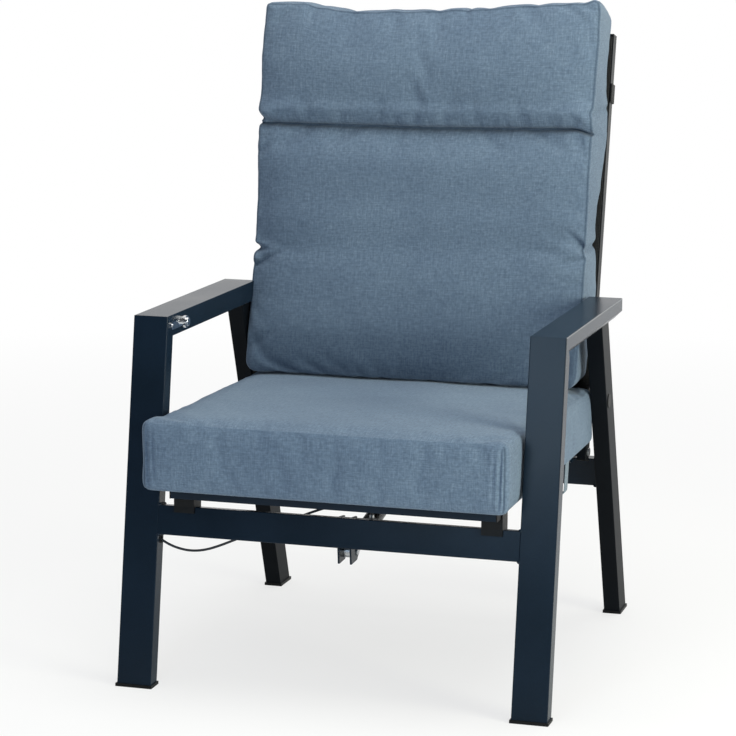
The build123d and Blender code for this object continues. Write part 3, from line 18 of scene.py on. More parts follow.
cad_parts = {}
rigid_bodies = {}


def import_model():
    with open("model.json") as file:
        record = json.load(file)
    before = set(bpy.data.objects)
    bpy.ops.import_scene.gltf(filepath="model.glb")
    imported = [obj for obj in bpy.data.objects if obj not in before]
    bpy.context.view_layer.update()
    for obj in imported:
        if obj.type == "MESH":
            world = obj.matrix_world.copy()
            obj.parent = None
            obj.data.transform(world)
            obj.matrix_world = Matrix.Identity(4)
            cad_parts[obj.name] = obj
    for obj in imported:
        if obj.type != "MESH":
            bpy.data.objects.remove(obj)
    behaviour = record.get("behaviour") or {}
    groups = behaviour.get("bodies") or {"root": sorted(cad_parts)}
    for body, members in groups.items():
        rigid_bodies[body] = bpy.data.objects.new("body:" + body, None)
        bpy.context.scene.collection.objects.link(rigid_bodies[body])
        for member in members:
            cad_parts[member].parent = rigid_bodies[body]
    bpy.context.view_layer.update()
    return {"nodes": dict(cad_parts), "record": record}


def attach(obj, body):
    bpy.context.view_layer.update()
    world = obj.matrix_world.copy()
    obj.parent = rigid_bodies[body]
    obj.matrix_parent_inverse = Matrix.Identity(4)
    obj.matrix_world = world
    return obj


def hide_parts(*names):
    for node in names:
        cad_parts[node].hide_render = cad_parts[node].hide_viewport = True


bpy.ops.object.select_all(action="SELECT")
bpy.ops.object.delete()
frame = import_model()

log = logging.getLogger("lounge_chair")

Point = tuple[float, float, float]
Colour = tuple[float, float, float]
Pair = tuple[float, float]
Spots = tuple[tuple[float, ...], tuple[float, ...], tuple[float, ...]]
Socket = bpy.types.NodeSocket
Material = bpy.types.Material
Piece = bpy.types.Object

WHITE: Colour = (1.0, 1.0, 1.0)

# Scale at which a Wave Texture's bands repeat once per unit
WAVES_PER_UNIT = math.pi / 10

# How the back leans, and where its frame's centre line passes the pivot, in metres
BACK_LEAN = math.radians(13.0)
BACK_LINE_Y = 0.22309
BACK_LINE_Z = 0.405
BACK_TUBE_HALF_DEPTH = 0.0125

# Distance from a seam at which the cloth's painted seam shade fades out and its attribute reaches 1, in
# metres
PAINTED_SHADE_REACH = 0.01

# Distance from an edge over which a cushion's slow waves fade in, in metres
WAVE_FADE = 0.03

# Samples in each cell when a cushion's grid is graded, and steps of its cloth simulation
SAMPLES_PER_CELL = 40
CLOTH_STEPS = 20


def back_line_y(z: float) -> float:
    """Y of the back frame's centre line at height z."""
    return BACK_LINE_Y + (z - BACK_LINE_Z) * math.tan(BACK_LEAN)


def linear(colour: Colour) -> tuple[float, float, float, float]:
    """A colour as seen on screen, turned into the linear values that a shader takes.

    Args:
        colour: red, green and blue from 0 to 1, as a picture shows them.

    Returns:
        The linear colour with full opacity.
    """
    r, g, b = (c / 12.92 if c <= 0.04045 else ((c + 0.055) / 1.055) ** 2.4 for c in colour)
    return (r, g, b, 1.0)


def smooth_table(rows: Sequence[Pair], at: float) -> float:
    """Value of a table at a place, eased between its rows.

    Args:
        rows: (place, value) pairs in rising order of place.
        at: the place to read.

    Returns:
        The value there, held at the ends.
    """
    if at <= rows[0][0]:
        return rows[0][1]
    for (a, low), (b, high) in zip(rows, rows[1:]):
        if at <= b:
            share = (at - a) / (b - a)
            share = share * share * (3 - 2 * share)
            return low + (high - low) * share
    return rows[-1][1]


def bump(distance: float, width: float) -> float:
    """Bell of height 1 at distance 0, about width wide."""
    return math.exp(-((distance / width) ** 2))


def waves(a: float, b: float, c: float) -> float:
    """Smooth random value from -1 to 1 at a place in the noise."""
    return noise.noise(Vector((a, b, c)))


def graded(cells: int, fine_at: Sequence[float], reach: float, ratio: float) -> list[float]:
    """Places from 0 to 1 that lie closer together near some of them.

    Args:
        cells: number of steps.
        fine_at: places with fine steps, each of which gets a step's end of its own.
        reach: how far the fine steps spread.
        ratio: how many times finer they are.

    Returns:
        The ends of the steps, from 0 to 1.
    """
    samples = cells * SAMPLES_PER_CELL
    reached = [0.0]
    for index in range(samples):
        at = (index + 0.5) / samples
        near = max(bump(at - spot, reach) for spot in fine_at)
        reached.append(reached[-1] + 1 + (ratio - 1) * near)
    places = []
    index = 0
    for cell in range(cells + 1):
        wanted = reached[-1] * cell / cells
        while reached[index] < wanted - 1e-9:
            index += 1
        places.append(index / samples)
    for spot in fine_at:
        nearest = min(range(len(places)), key=lambda i: abs(places[i] - spot))
        places[nearest] = spot
    return places


# Finishes


class Axes(Enum):
    """Which coordinates a pattern follows."""

    OBJECT = "Object"
    UV = "UV"


class Bench:
    """Builds the node tree of a material or a world."""

    def __init__(self, owner: Material | bpy.types.World) -> None:
        """Empty the owner's node tree."""
        owner.use_nodes = True
        self.owner = owner
        self.tree = owner.node_tree
        self.tree.nodes.clear()

    def add(self, kind: str, *feeds: object, **values: object) -> bpy.types.Node:
        """Add a node and feed its sockets.

        Args:
            kind: the node's type.
            *feeds: for its first sockets in order, outputs to link or constants.
            **values: the same for sockets by name with _ for a space, or node settings.

        Returns:
            The new node.
        """
        node = self.tree.nodes.new(kind)
        sockets: dict[int | str, object] = dict(enumerate(feeds))
        for key, value in values.items():
            name = key.replace("_", " ")
            if name in node.inputs:
                sockets[name] = value
            else:
                setattr(node, key, value)
        for name, value in sockets.items():
            if isinstance(value, Socket):
                self.tree.links.new(value, node.inputs[name])
            else:
                node.inputs[name].default_value = value
        return node

    def place(self, axes: Axes, scale: Point | float) -> Socket:
        """Coordinates for a pattern.

        Args:
            axes: the coordinates that the pattern follows.
            scale: repeats per metre, along each axis or the same along all.

        Returns:
            The scaled coordinates.
        """
        coordinates = self.add("ShaderNodeTexCoord").outputs[axes.value]
        each = scale if isinstance(scale, tuple) else (scale,) * 3
        return self.add("ShaderNodeMapping", coordinates, Scale=each).outputs["Vector"]

    def noise(
        self, axes: Axes, scale: Point | float, detail: float = 2.0, roughness: float = 0.5
    ) -> Socket:
        """Noise on the given coordinates.

        Args:
            axes: the coordinates.
            scale: repeats per metre.
            detail: how many finer layers are added.
            roughness: how strong they are.

        Returns:
            The noise from 0 to 1.
        """
        return self.add(
            "ShaderNodeTexNoise",
            self.place(axes, scale),
            Scale=1.0,
            Detail=detail,
            Roughness=roughness,
        ).outputs["Fac"]

    def threads(self, axes: Axes, scale: float, direction: str) -> Socket:
        """Parallel threads, as a sine of the coordinates along one direction.

        Args:
            axes: the coordinates.
            scale: the Wave Texture's repeats per metre.
            direction: the axis across the threads, or DIAGONAL.

        Returns:
            The sine from 0 to 1.
        """
        return self.add(
            "ShaderNodeTexWave",
            self.place(axes, scale),
            Scale=1.0,
            Distortion=0.6,
            Detail=1.0,
            bands_direction=direction,
        ).outputs["Fac"]

    def weave(self, pitch: float) -> tuple[Socket, Socket]:
        """Warp and weft of a plain weave in the UVs, its threads pitch metres apart."""
        scale = WAVES_PER_UNIT / pitch
        return self.threads(Axes.UV, scale, "X"), self.threads(Axes.UV, scale, "Y")

    def ramp(self, source: Socket, *stops: tuple[float, Colour]) -> Socket:
        """Colours spread over a pattern.

        Args:
            source: the pattern.
            *stops: place from 0 to 1 and colour as a picture shows it.

        Returns:
            The colour.
        """
        ramp = self.add("ShaderNodeValToRGB", source)
        elements = ramp.color_ramp.elements
        while len(elements) < len(stops):
            elements.new(0.5)
        for element, (at, colour) in zip(elements, stops):
            element.position = at
            element.color = linear(colour)
        return ramp.outputs["Color"]

    def mix(self, kind: str, amount: float, lower: Socket, upper: Socket) -> Socket:
        """Blend two colours.

        Args:
            kind: the blend, such as MULTIPLY.
            amount: how strongly the upper colour acts.
            lower: the lower colour.
            upper: the upper colour.

        Returns:
            The blended colour.
        """
        node = self.add("ShaderNodeMix", amount, data_type="RGBA", blend_type=kind)
        self.tree.links.new(lower, node.inputs[6])
        self.tree.links.new(upper, node.inputs[7])
        return node.outputs[2]

    def shaded(self, colour: Socket, *shades: tuple[float, Socket]) -> Socket:
        """Multiply a colour by others in turn.

        Args:
            colour: the colour to start from.
            *shades: how strongly each of the others acts, and its colour.

        Returns:
            The product.
        """
        for amount, shade in shades:
            colour = self.mix("MULTIPLY", amount, colour, shade)
        return colour

    def between(self, source: Socket, low: float, high: float, **reach: float) -> Socket:
        """A pattern spread between two values, from its own reach where that isn't 0 to 1."""
        spread = self.add("ShaderNodeMapRange", source, To_Min=low, To_Max=high, **reach)
        return spread.outputs["Result"]

    def relief(self, *layers: tuple[Socket, float, float]) -> Socket:
        """Stack bumps, coarse to fine.

        Args:
            *layers: pattern, strength and height in metres of each.

        Returns:
            The normal.
        """
        below: dict[str, Socket] = {}
        for pattern, strength, height in layers:
            node = self.add(
                "ShaderNodeBump", Strength=strength, Distance=height, Height=pattern, **below
            )
            below = {"Normal": node.outputs["Normal"]}
        return below["Normal"]

    def combine(self, kind: str, a: Socket, b: Socket) -> Socket:
        """Two values joined by a Math node, a sum being held at 1."""
        return self.add("ShaderNodeMath", a, b, operation=kind, use_clamp=kind == "ADD").outputs[0]

    def shade(self, **values: object) -> Material:
        """End a material with one Principled shader, fed by its sockets' names."""
        shader = self.add("ShaderNodeBsdfPrincipled", **values)
        self.add("ShaderNodeOutputMaterial", shader.outputs["BSDF"])
        return self.owner


@dataclass(frozen=True)
class PowderCoat:
    """Satin powder coat on aluminium, with its fine orange peel."""

    name: str = "anthracite_powder_coat"
    colour: Colour = (0.06, 0.115, 0.165)
    light: Colour = (0.075, 0.135, 0.195)
    roughness: float = 0.25
    specular: float = 0.15
    spread: float = 0.05
    speck: Colour = (0.82, 0.82, 0.84)

    def make(self) -> Material:
        """Build the material."""
        bench = Bench(bpy.data.materials.new(self.name))
        drift = bench.noise(Axes.OBJECT, 9.0, 3.0)
        grain = bench.noise(Axes.OBJECT, 950.0)
        peel = bench.noise(Axes.OBJECT, 420.0, 1.0)
        tone = bench.ramp(drift, (0.3, self.colour), (0.75, self.light))
        return bench.shade(
            Base_Color=bench.shaded(tone, (0.6, bench.ramp(grain, (0.35, self.speck), (0.65, WHITE)))),
            Roughness=bench.between(drift, self.roughness - self.spread, self.roughness + self.spread),
            Normal=bench.relief((peel, 0.18, 0.0003), (grain, 0.2, 0.0001)),
            Specular_IOR_Level=self.specular,
            Metallic=0.0,
        )


@dataclass(frozen=True)
class CushionCloth:
    """Woven outdoor cloth: two-tone yarns on a plain weave, in the cover's own UVs, with shade painted
    along its seams.
    """

    name: str = "grey_blue_outdoor_cloth"
    dark: Colour = (0.39, 0.465, 0.555)
    middle: Colour = (0.465, 0.545, 0.63)
    light: Colour = (0.55, 0.625, 0.7)
    fleck: Colour = (0.8, 0.81, 0.83)
    cloud: Colour = (0.9, 0.91, 0.93)
    pitch: float = 0.0016
    # how strongly the painted shade along the seams darkens the cloth
    seams: float = 0.8

    # painted shade along the seams: the cloth's tones against its distance from them
    PAINTED_SEAM_SHADE = ((0.0, (0.62, 0.65, 0.69)), (0.14, (0.7, 0.73, 0.76)), (0.42, WHITE))

    def make(self) -> Material:
        """Build the material."""
        bench = Bench(bpy.data.materials.new(self.name))
        warp, weft = bench.weave(self.pitch)
        slub_up = bench.noise(Axes.UV, (700.0, 38.0, 1.0), 3.0, 0.6)
        slub_across = bench.noise(Axes.UV, (38.0, 700.0, 1.0), 3.0, 0.6)
        mottle = bench.noise(Axes.UV, 190.0, 3.0, 0.65)
        cloud = bench.noise(Axes.OBJECT, 6.0, 3.0)
        # painted shade: the cloth darkens near its seams, by this distance attribute
        sewn = bench.add("ShaderNodeAttribute", attribute_name="from_painted_shade").outputs["Fac"]
        stops = ((0.32, self.dark), (0.5, self.middle), (0.68, self.light))
        yarn = bench.mix("MIX", 0.5, bench.ramp(slub_up, *stops), bench.ramp(slub_across, *stops))
        return bench.shade(
            Base_Color=bench.shaded(
                yarn,
                (0.16, warp),
                (0.16, weft),
                (0.9, bench.ramp(mottle, (0.3, self.fleck), (0.7, WHITE))),
                (0.9, bench.ramp(cloud, (0.3, self.cloud), (0.7, WHITE))),
                (self.seams, bench.ramp(sewn, *self.PAINTED_SEAM_SHADE)),
            ),
            Normal=bench.relief(
                (cloud, 0.25, 0.004), (mottle, 0.22, 0.0006), (warp, 0.35, 0.0003), (weft, 0.35, 0.0003)
            ),
            Roughness=0.92,
            Specular_IOR_Level=0.25,
            Sheen_Weight=0.18,
            Sheen_Roughness=0.5,
            Sheen_Tint=linear((0.85, 0.9, 0.95)),
        )


@dataclass(frozen=True)
class SlingMesh:
    """Coated polyester mesh of the slings, an open basket weave."""

    name: str = "charcoal_sling_mesh"
    colour: Colour = (0.09, 0.1, 0.11)
    light: Colour = (0.14, 0.15, 0.165)
    gap: Colour = (0.25, 0.25, 0.25)
    pitch: float = 0.0026

    def make(self) -> Material:
        """Build the material."""
        bench = Bench(bpy.data.materials.new(self.name))
        both = bench.weave(self.pitch)
        wear = bench.noise(Axes.UV, 24.0, 3.0)
        tone = bench.ramp(wear, (0.3, self.colour), (0.7, self.light))
        gaps = [(0.8, bench.ramp(threads, (0.2, self.gap), (0.6, WHITE))) for threads in both]
        return bench.shade(
            Base_Color=bench.shaded(tone, *gaps),
            Normal=bench.relief(*((threads, 0.6, 0.0006) for threads in both)),
            Roughness=0.62,
            Specular_IOR_Level=0.4,
        )


@dataclass(frozen=True)
class Webbing:
    """Ribbed narrow webbing, such as the strap round the back and the cushion's ties."""

    name: str
    colour: Colour
    light: Colour
    rib: float = 0.0024

    def make(self) -> Material:
        """Build the material."""
        bench = Bench(bpy.data.materials.new(self.name))
        ribs = bench.threads(Axes.UV, WAVES_PER_UNIT / self.rib, "X")
        fibre = bench.noise(Axes.UV, (900.0, 260.0, 1.0), 3.0)
        tone = bench.ramp(fibre, (0.35, self.colour), (0.7, self.light))
        return bench.shade(
            Base_Color=bench.shaded(tone, (0.45, ribs)),
            Normal=bench.relief((ribs, 0.7, 0.0005), (fibre, 0.4, 0.0002)),
            Roughness=0.85,
            Specular_IOR_Level=0.3,
            Sheen_Weight=0.1,
        )


@dataclass(frozen=True)
class BrightMetal:
    """Plated or plain steel, with fine turning marks and handling haze."""

    name: str
    colour: Colour
    smooth: float
    dull: float
    haze: Colour = (0.9, 0.9, 0.91)

    def make(self) -> Material:
        """Build the material."""
        bench = Bench(bpy.data.materials.new(self.name))
        haze = bench.noise(Axes.OBJECT, 160.0, 3.0)
        marks = bench.noise(Axes.OBJECT, (1400.0, 60.0, 60.0))
        return bench.shade(
            Base_Color=bench.ramp(haze, (0.3, self.colour), (0.75, self.haze)),
            Roughness=bench.between(haze, self.smooth, self.dull),
            Normal=bench.relief((marks, 0.08, 0.0001)),
            Metallic=1.0,
        )


@dataclass(frozen=True)
class Moulded:
    """Moulded plastic or rubber with a fine grain."""

    name: str
    colour: Colour
    light: Colour
    roughness: float
    grain: float = 1100.0

    def make(self) -> Material:
        """Build the material."""
        bench = Bench(bpy.data.materials.new(self.name))
        grain = bench.noise(Axes.OBJECT, self.grain)
        scuff = bench.noise(Axes.OBJECT, (55.0, 55.0, 90.0), 4.0, 0.6)
        return bench.shade(
            Base_Color=bench.ramp(scuff, (0.4, self.colour), (0.8, self.light)),
            Roughness=bench.between(scuff, self.roughness - 0.08, self.roughness + 0.1),
            Normal=bench.relief((grain, 0.35, 0.0002)),
            Specular_IOR_Level=0.22,
        )


@dataclass(frozen=True)
class Sheath:
    """Smooth extruded sheath of the cable, with the lay of its wires just showing."""

    name: str = "black_cable_sheath"
    colour: Colour = (0.075, 0.085, 0.11)
    light: Colour = (0.14, 0.15, 0.18)

    def make(self) -> Material:
        """Build the material."""
        bench = Bench(bpy.data.materials.new(self.name))
        lay = bench.threads(Axes.OBJECT, 180.0, "DIAGONAL")
        scuff = bench.noise(Axes.OBJECT, 140.0, 3.0)
        return bench.shade(
            Base_Color=bench.ramp(scuff, (0.3, self.colour), (0.8, self.light)),
            Roughness=bench.between(scuff, 0.3, 0.46),
            Normal=bench.relief((lay, 0.15, 0.0002)),
        )


class Finishes:
    """Every finish of the chair, made once."""

    def __init__(self) -> None:
        """Build all materials and map the record's slots to them."""
        self.coat = PowderCoat().make()
        # painted shade: a darker, duller copy of the same powder coat for the back frame and the rear
        # legs
        self.painted_shade_coat = PowderCoat(
            "painted_shade_powder_coat", (0.05, 0.065, 0.085), (0.07, 0.085, 0.105), 0.48, 0.07
        ).make()
        self.cloth = CushionCloth().make()
        self.mesh = SlingMesh().make()
        self.strap = Webbing("black_webbing", (0.05, 0.055, 0.065), (0.11, 0.115, 0.13)).make()
        self.tie = Webbing("grey_blue_tape", (0.46, 0.53, 0.6), (0.6, 0.66, 0.71)).make()
        self.sheath = Sheath().make()
        plastic = Moulded("black_moulded_plastic", (0.02, 0.024, 0.03), (0.06, 0.065, 0.075), 0.5)
        enamel = Moulded("black_enamel", (0.04, 0.042, 0.05), (0.08, 0.085, 0.095), 0.28, 500.0)
        rubber = Moulded("black_rubber", (0.05, 0.052, 0.06), (0.1, 0.105, 0.115), 0.75)
        self.by_slot: dict[str, Material] = {
            "powder_coated_metal": self.coat,
            "black_plastic": plastic.make(),
            "sling_mesh": self.mesh,
            "cushion_fabric": self.cloth,
            "black_webbing": self.strap,
            "chrome": BrightMetal("chrome_plate", (0.8, 0.81, 0.83), 0.08, 0.16).make(),
            "plain_steel": BrightMetal("zinc_plated_steel", (0.56, 0.58, 0.6), 0.3, 0.45).make(),
            "black_enamel": enamel.make(),
            "rubber": rubber.make(),
        }

    def dress_frame(self) -> None:
        """Give each CAD node the finish of its slot in the record."""
        for part in frame["record"]["subparts"]:
            node = frame["nodes"][part["node"]]
            finish = self.by_slot[part["material_slot"]]
            # the back frame and the rear legs take the coat's painted-shade copy
            if finish is self.coat and part["node"].startswith(("back_", "rear_leg")):
                finish = self.painted_shade_coat
            for slot in node.material_slots:
                slot.material = finish
        log.info("frame: %d nodes finished", len(frame["nodes"]))


# Helpers for modelling


def deselect() -> None:
    """Leave nothing selected and nothing active, out of edit mode."""
    if bpy.context.object is not None and bpy.context.object.mode != "OBJECT":
        bpy.ops.object.mode_set(mode="OBJECT")
    bpy.ops.object.select_all(action="DESELECT")


def pick(piece: Piece) -> None:
    """Select this piece alone and make it active."""
    deselect()
    piece.select_set(True)
    bpy.context.view_layer.objects.active = piece


def apply_all(piece: Piece) -> None:
    """Apply a piece's modifiers in their order."""
    pick(piece)
    for modifier in list(piece.modifiers):
        bpy.ops.object.modifier_apply(modifier=modifier.name)


def added(name: str) -> Piece:
    """The object that an operator just made, with its name given to its mesh too."""
    piece = bpy.context.object
    piece.name = piece.data.name = name
    return piece


def linked(name: str, data: bpy.types.ID) -> Piece:
    """New object in the scene for a mesh, curve, camera or lamp."""
    piece = bpy.data.objects.new(name, data)
    bpy.context.scene.collection.objects.link(piece)
    return piece


def joined(name: str, pieces: Sequence[Piece]) -> Piece:
    """Make several pieces one.

    Args:
        name: the joined piece's name.
        pieces: what is joined.

    Returns:
        The joined piece.
    """
    pick(pieces[0])
    for piece in pieces:
        piece.select_set(True)
    bpy.ops.object.join()
    return added(name)


def finish_with(piece: Piece, material: Material) -> None:
    """Give a piece its one material.

    Args:
        piece: the piece.
        material: its material.
    """
    piece.data.materials.clear()
    piece.data.materials.append(material)


# Cushions


class Side(Enum):
    """Faces of a boxed cushion before it is rounded."""

    LEFT = 0
    RIGHT = 1
    FRONT = 2
    REAR = 3
    BOTTOM = 4
    TOP = 5


@dataclass
class Shell:
    """Closed grid over the six sides of a box, in shares from 0 to 1."""

    places: tuple[list[float], list[float], list[float]]
    points: list[Point] = field(default_factory=list)
    faces: list[tuple[int, int, int, int]] = field(default_factory=list)
    sides: list[Side] = field(default_factory=list)

    def __post_init__(self) -> None:
        """Lay out the six sides and sew them along the edges."""
        known: dict[tuple[int, int, int], int] = {}
        cells = [len(places) - 1 for places in self.places]
        for side in Side:
            axis, high = divmod(side.value, 2)
            u_axis, v_axis = (axis + 1) % 3, (axis + 2) % 3
            for u in range(cells[u_axis]):
                for v in range(cells[v_axis]):
                    ring = [(u, v), (u + 1, v), (u + 1, v + 1), (u, v + 1)]
                    face = []
                    for a, b in ring if high else reversed(ring):
                        place = [0, 0, 0]
                        place[axis] = cells[axis] if high else 0
                        place[u_axis], place[v_axis] = a, b
                        key = (place[0], place[1], place[2])
                        if key not in known:
                            known[key] = len(self.points)
                            x, y, z = (ends[i] for ends, i in zip(self.places, key))
                            self.points.append((x, y, z))
                        face.append(known[key])
                    self.faces.append((face[0], face[1], face[2], face[3]))
                    self.sides.append(side)


@dataclass(frozen=True)
class Ripple:
    """Slow random relief of the cloth over two directions."""

    height: float
    first: float
    second: float
    seed: float

    def at(self, a: float, b: float) -> float:
        """Height at a place given in metres along the two directions."""
        return self.height * waves(a * self.first, b * self.second, self.seed)


@dataclass(kw_only=True)
class Cushion:
    """Boxed cushion: a sewn cover over foam, swelled by a short cloth simulation."""

    name: str
    node: str
    body: str
    material: Material
    cells: tuple[int, int, int]
    fine_at: Spots
    round_by: Point
    swell: float
    cap: float
    fill: float
    side_span: float
    side_face: float
    side_wave: float
    side_give: float = 0.3
    crease: float = 0.7
    fine_reach: float = 0.035
    fine_ratio: float = 3.0
    patch_step: float = 0.37

    # Blender's cloth settings
    CLOTH = {
        "quality": 5, "mass": 0.25, "tension_stiffness": 12.0, "compression_stiffness": 12.0,
        "shear_stiffness": 6.0, "bending_stiffness": 1.5, "use_pressure": True,
        "vertex_group_mass": "seams", "pin_stiffness": 1.0, "shrink_min": -0.012,
    }

    def place(self, share: Point) -> Vector:
        """Point of the sewn cover, before swelling, for shares across, front to rear and up."""
        raise NotImplementedError

    def flat_size(self) -> Point:
        """Width, depth and height of the box that the cover was cut for."""
        raise NotImplementedError

    def is_seam(self, share: Point) -> bool:
        """Whether a point of the shell lies on a seam, which the simulation holds."""
        return sum(1 for value in share if value in (0.0, 1.0)) >= 2

    def from_painted_shade(self, share: Point) -> float:
        """Distance in metres from a point of the shell to the nearest edge of its face, where shade is
        painted into the cloth.
        """
        reach = (min(value, 1 - value) * size for value, size in zip(share, self.flat_size()))
        return sorted(reach)[1]

    def from_side(self, across: float) -> float:
        """Distance in metres to the nearer side edge."""
        return (1 - abs(2 * across - 1)) * self.side_span

    def detail(self, point: Vector, share: Vector) -> Vector:
        """How far the finished cover departs from the swelled one at a point."""
        return Vector((0.0, 0.0, 0.0))

    def rounded(self, share: Point, size: Point) -> Vector:
        """Point of a box with rounded edges.

        Args:
            share: place over the box from 0 to 1 along each axis.
            size: the box's size at that place.

        Returns:
            The point, measured from the box's lowest corner.
        """
        spans = []
        kept = []
        for value, length, radius in zip(share, size, self.round_by):
            at = value * length
            inner = min(max(at, radius), length - radius)
            kept.append(inner)
            spans.append((at - inner) / radius)
        reach = math.sqrt(sum(span * span for span in spans))
        if reach > 0:
            spans = [span / reach * min(reach, 1.0) for span in spans]
        return Vector(
            inner + span * radius for inner, span, radius in zip(kept, spans, self.round_by)
        )

    def sew(self) -> Piece:
        """Build the cover's mesh with its UVs in metres, its seam group and its attributes.

        Returns:
            The cover before it is swelled.
        """
        across, back, up = (
            graded(cells, spots, self.fine_reach, self.fine_ratio)
            for cells, spots in zip(self.cells, self.fine_at)
        )
        shell = Shell((across, back, up))
        mesh = bpy.data.meshes.new(self.name)
        mesh.from_pydata([self.place(point) for point in shell.points], [], shell.faces)
        layer = mesh.uv_layers.new(name="cloth")
        size = self.flat_size()
        for polygon, side in zip(mesh.polygons, shell.sides):
            u, v = (axis for axis in range(3) if axis != side.value // 2)
            low = self.patch_step * side.value
            for loop in polygon.loop_indices:
                share = shell.points[mesh.loops[loop].vertex_index]
                layer.data[loop].uv = (share[u] * size[u], share[v] * size[v] + low)
        shares = mesh.attributes.new("share", "FLOAT_VECTOR", "POINT")
        for index, point in enumerate(shell.points):
            shares.data[index].vector = point
        # the distance that paints shade into the cloth along its seams
        seams = mesh.attributes.new("from_painted_shade", "FLOAT", "POINT")
        for index, point in enumerate(shell.points):
            seams.data[index].value = min(1.0, self.from_painted_shade(point) / PAINTED_SHADE_REACH)
        creases = mesh.attributes.new("crease_edge", "FLOAT", "EDGE")
        for edge in mesh.edges:
            a, b = (shell.points[index] for index in edge.vertices)
            on_seam = sum(1 for u, v in zip(a, b) if u == v and u in (0.0, 1.0)) >= 2
            creases.data[edge.index].value = self.crease if on_seam else 0.0
        piece = linked(self.name, mesh)
        group = piece.vertex_groups.new(name="seams")
        group.add([i for i, p in enumerate(shell.points) if self.is_seam(p)], 1.0, "REPLACE")
        return piece

    def inflate(self, piece: Piece) -> None:
        """Swell the cover between its seams with Blender's cloth, and cap how far it goes.

        Args:
            piece: the sewn cover.
        """
        modifier = piece.modifiers.new("Cloth", "CLOTH")
        for setting, value in self.CLOTH.items():
            setattr(modifier.settings, setting, value)
        modifier.settings.uniform_pressure_force = self.swell
        modifier.settings.effector_weights.gravity = 0.0
        modifier.point_cache.frame_start = 1
        modifier.point_cache.frame_end = CLOTH_STEPS
        for step in range(1, CLOTH_STEPS + 1):
            bpy.context.scene.frame_set(step)
        swelled = piece.evaluated_get(bpy.context.evaluated_depsgraph_get())
        moved = [vertex.co.copy() for vertex in swelled.data.vertices]
        piece.modifiers.remove(modifier)
        for vertex, after in zip(piece.data.vertices, moved):
            shift = after - vertex.co
            far = shift.length
            if far > 0:
                shift *= self.cap * math.tanh(far / self.cap) / far
            shift.x *= self.side_give
            vertex.co += shift
        bpy.context.scene.frame_set(1)

    def shape(self, piece: Piece) -> None:
        """Subdivide the swelled cover and add its creases and puckers.

        Args:
            piece: the swelled cover.
        """
        smooth = piece.modifiers.new("Subdivision", "SUBSURF")
        smooth.levels = smooth.render_levels = 1
        apply_all(piece)
        shares = piece.data.attributes["share"].data
        for index, vertex in enumerate(piece.data.vertices):
            vertex.co += self.detail(vertex.co.copy(), Vector(shares[index].vector))
        piece.data.attributes.remove(piece.data.attributes["share"])
        pick(piece)
        bpy.ops.object.shade_smooth()

    def build(self) -> None:
        """Make the cushion and put it in place of its CAD solid."""
        piece = self.sew()
        self.inflate(piece)
        self.shape(piece)
        finish_with(piece, self.material)
        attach(piece, self.body)
        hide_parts(self.node)
        log.info("%s: %d faces", self.name, len(piece.data.polygons))


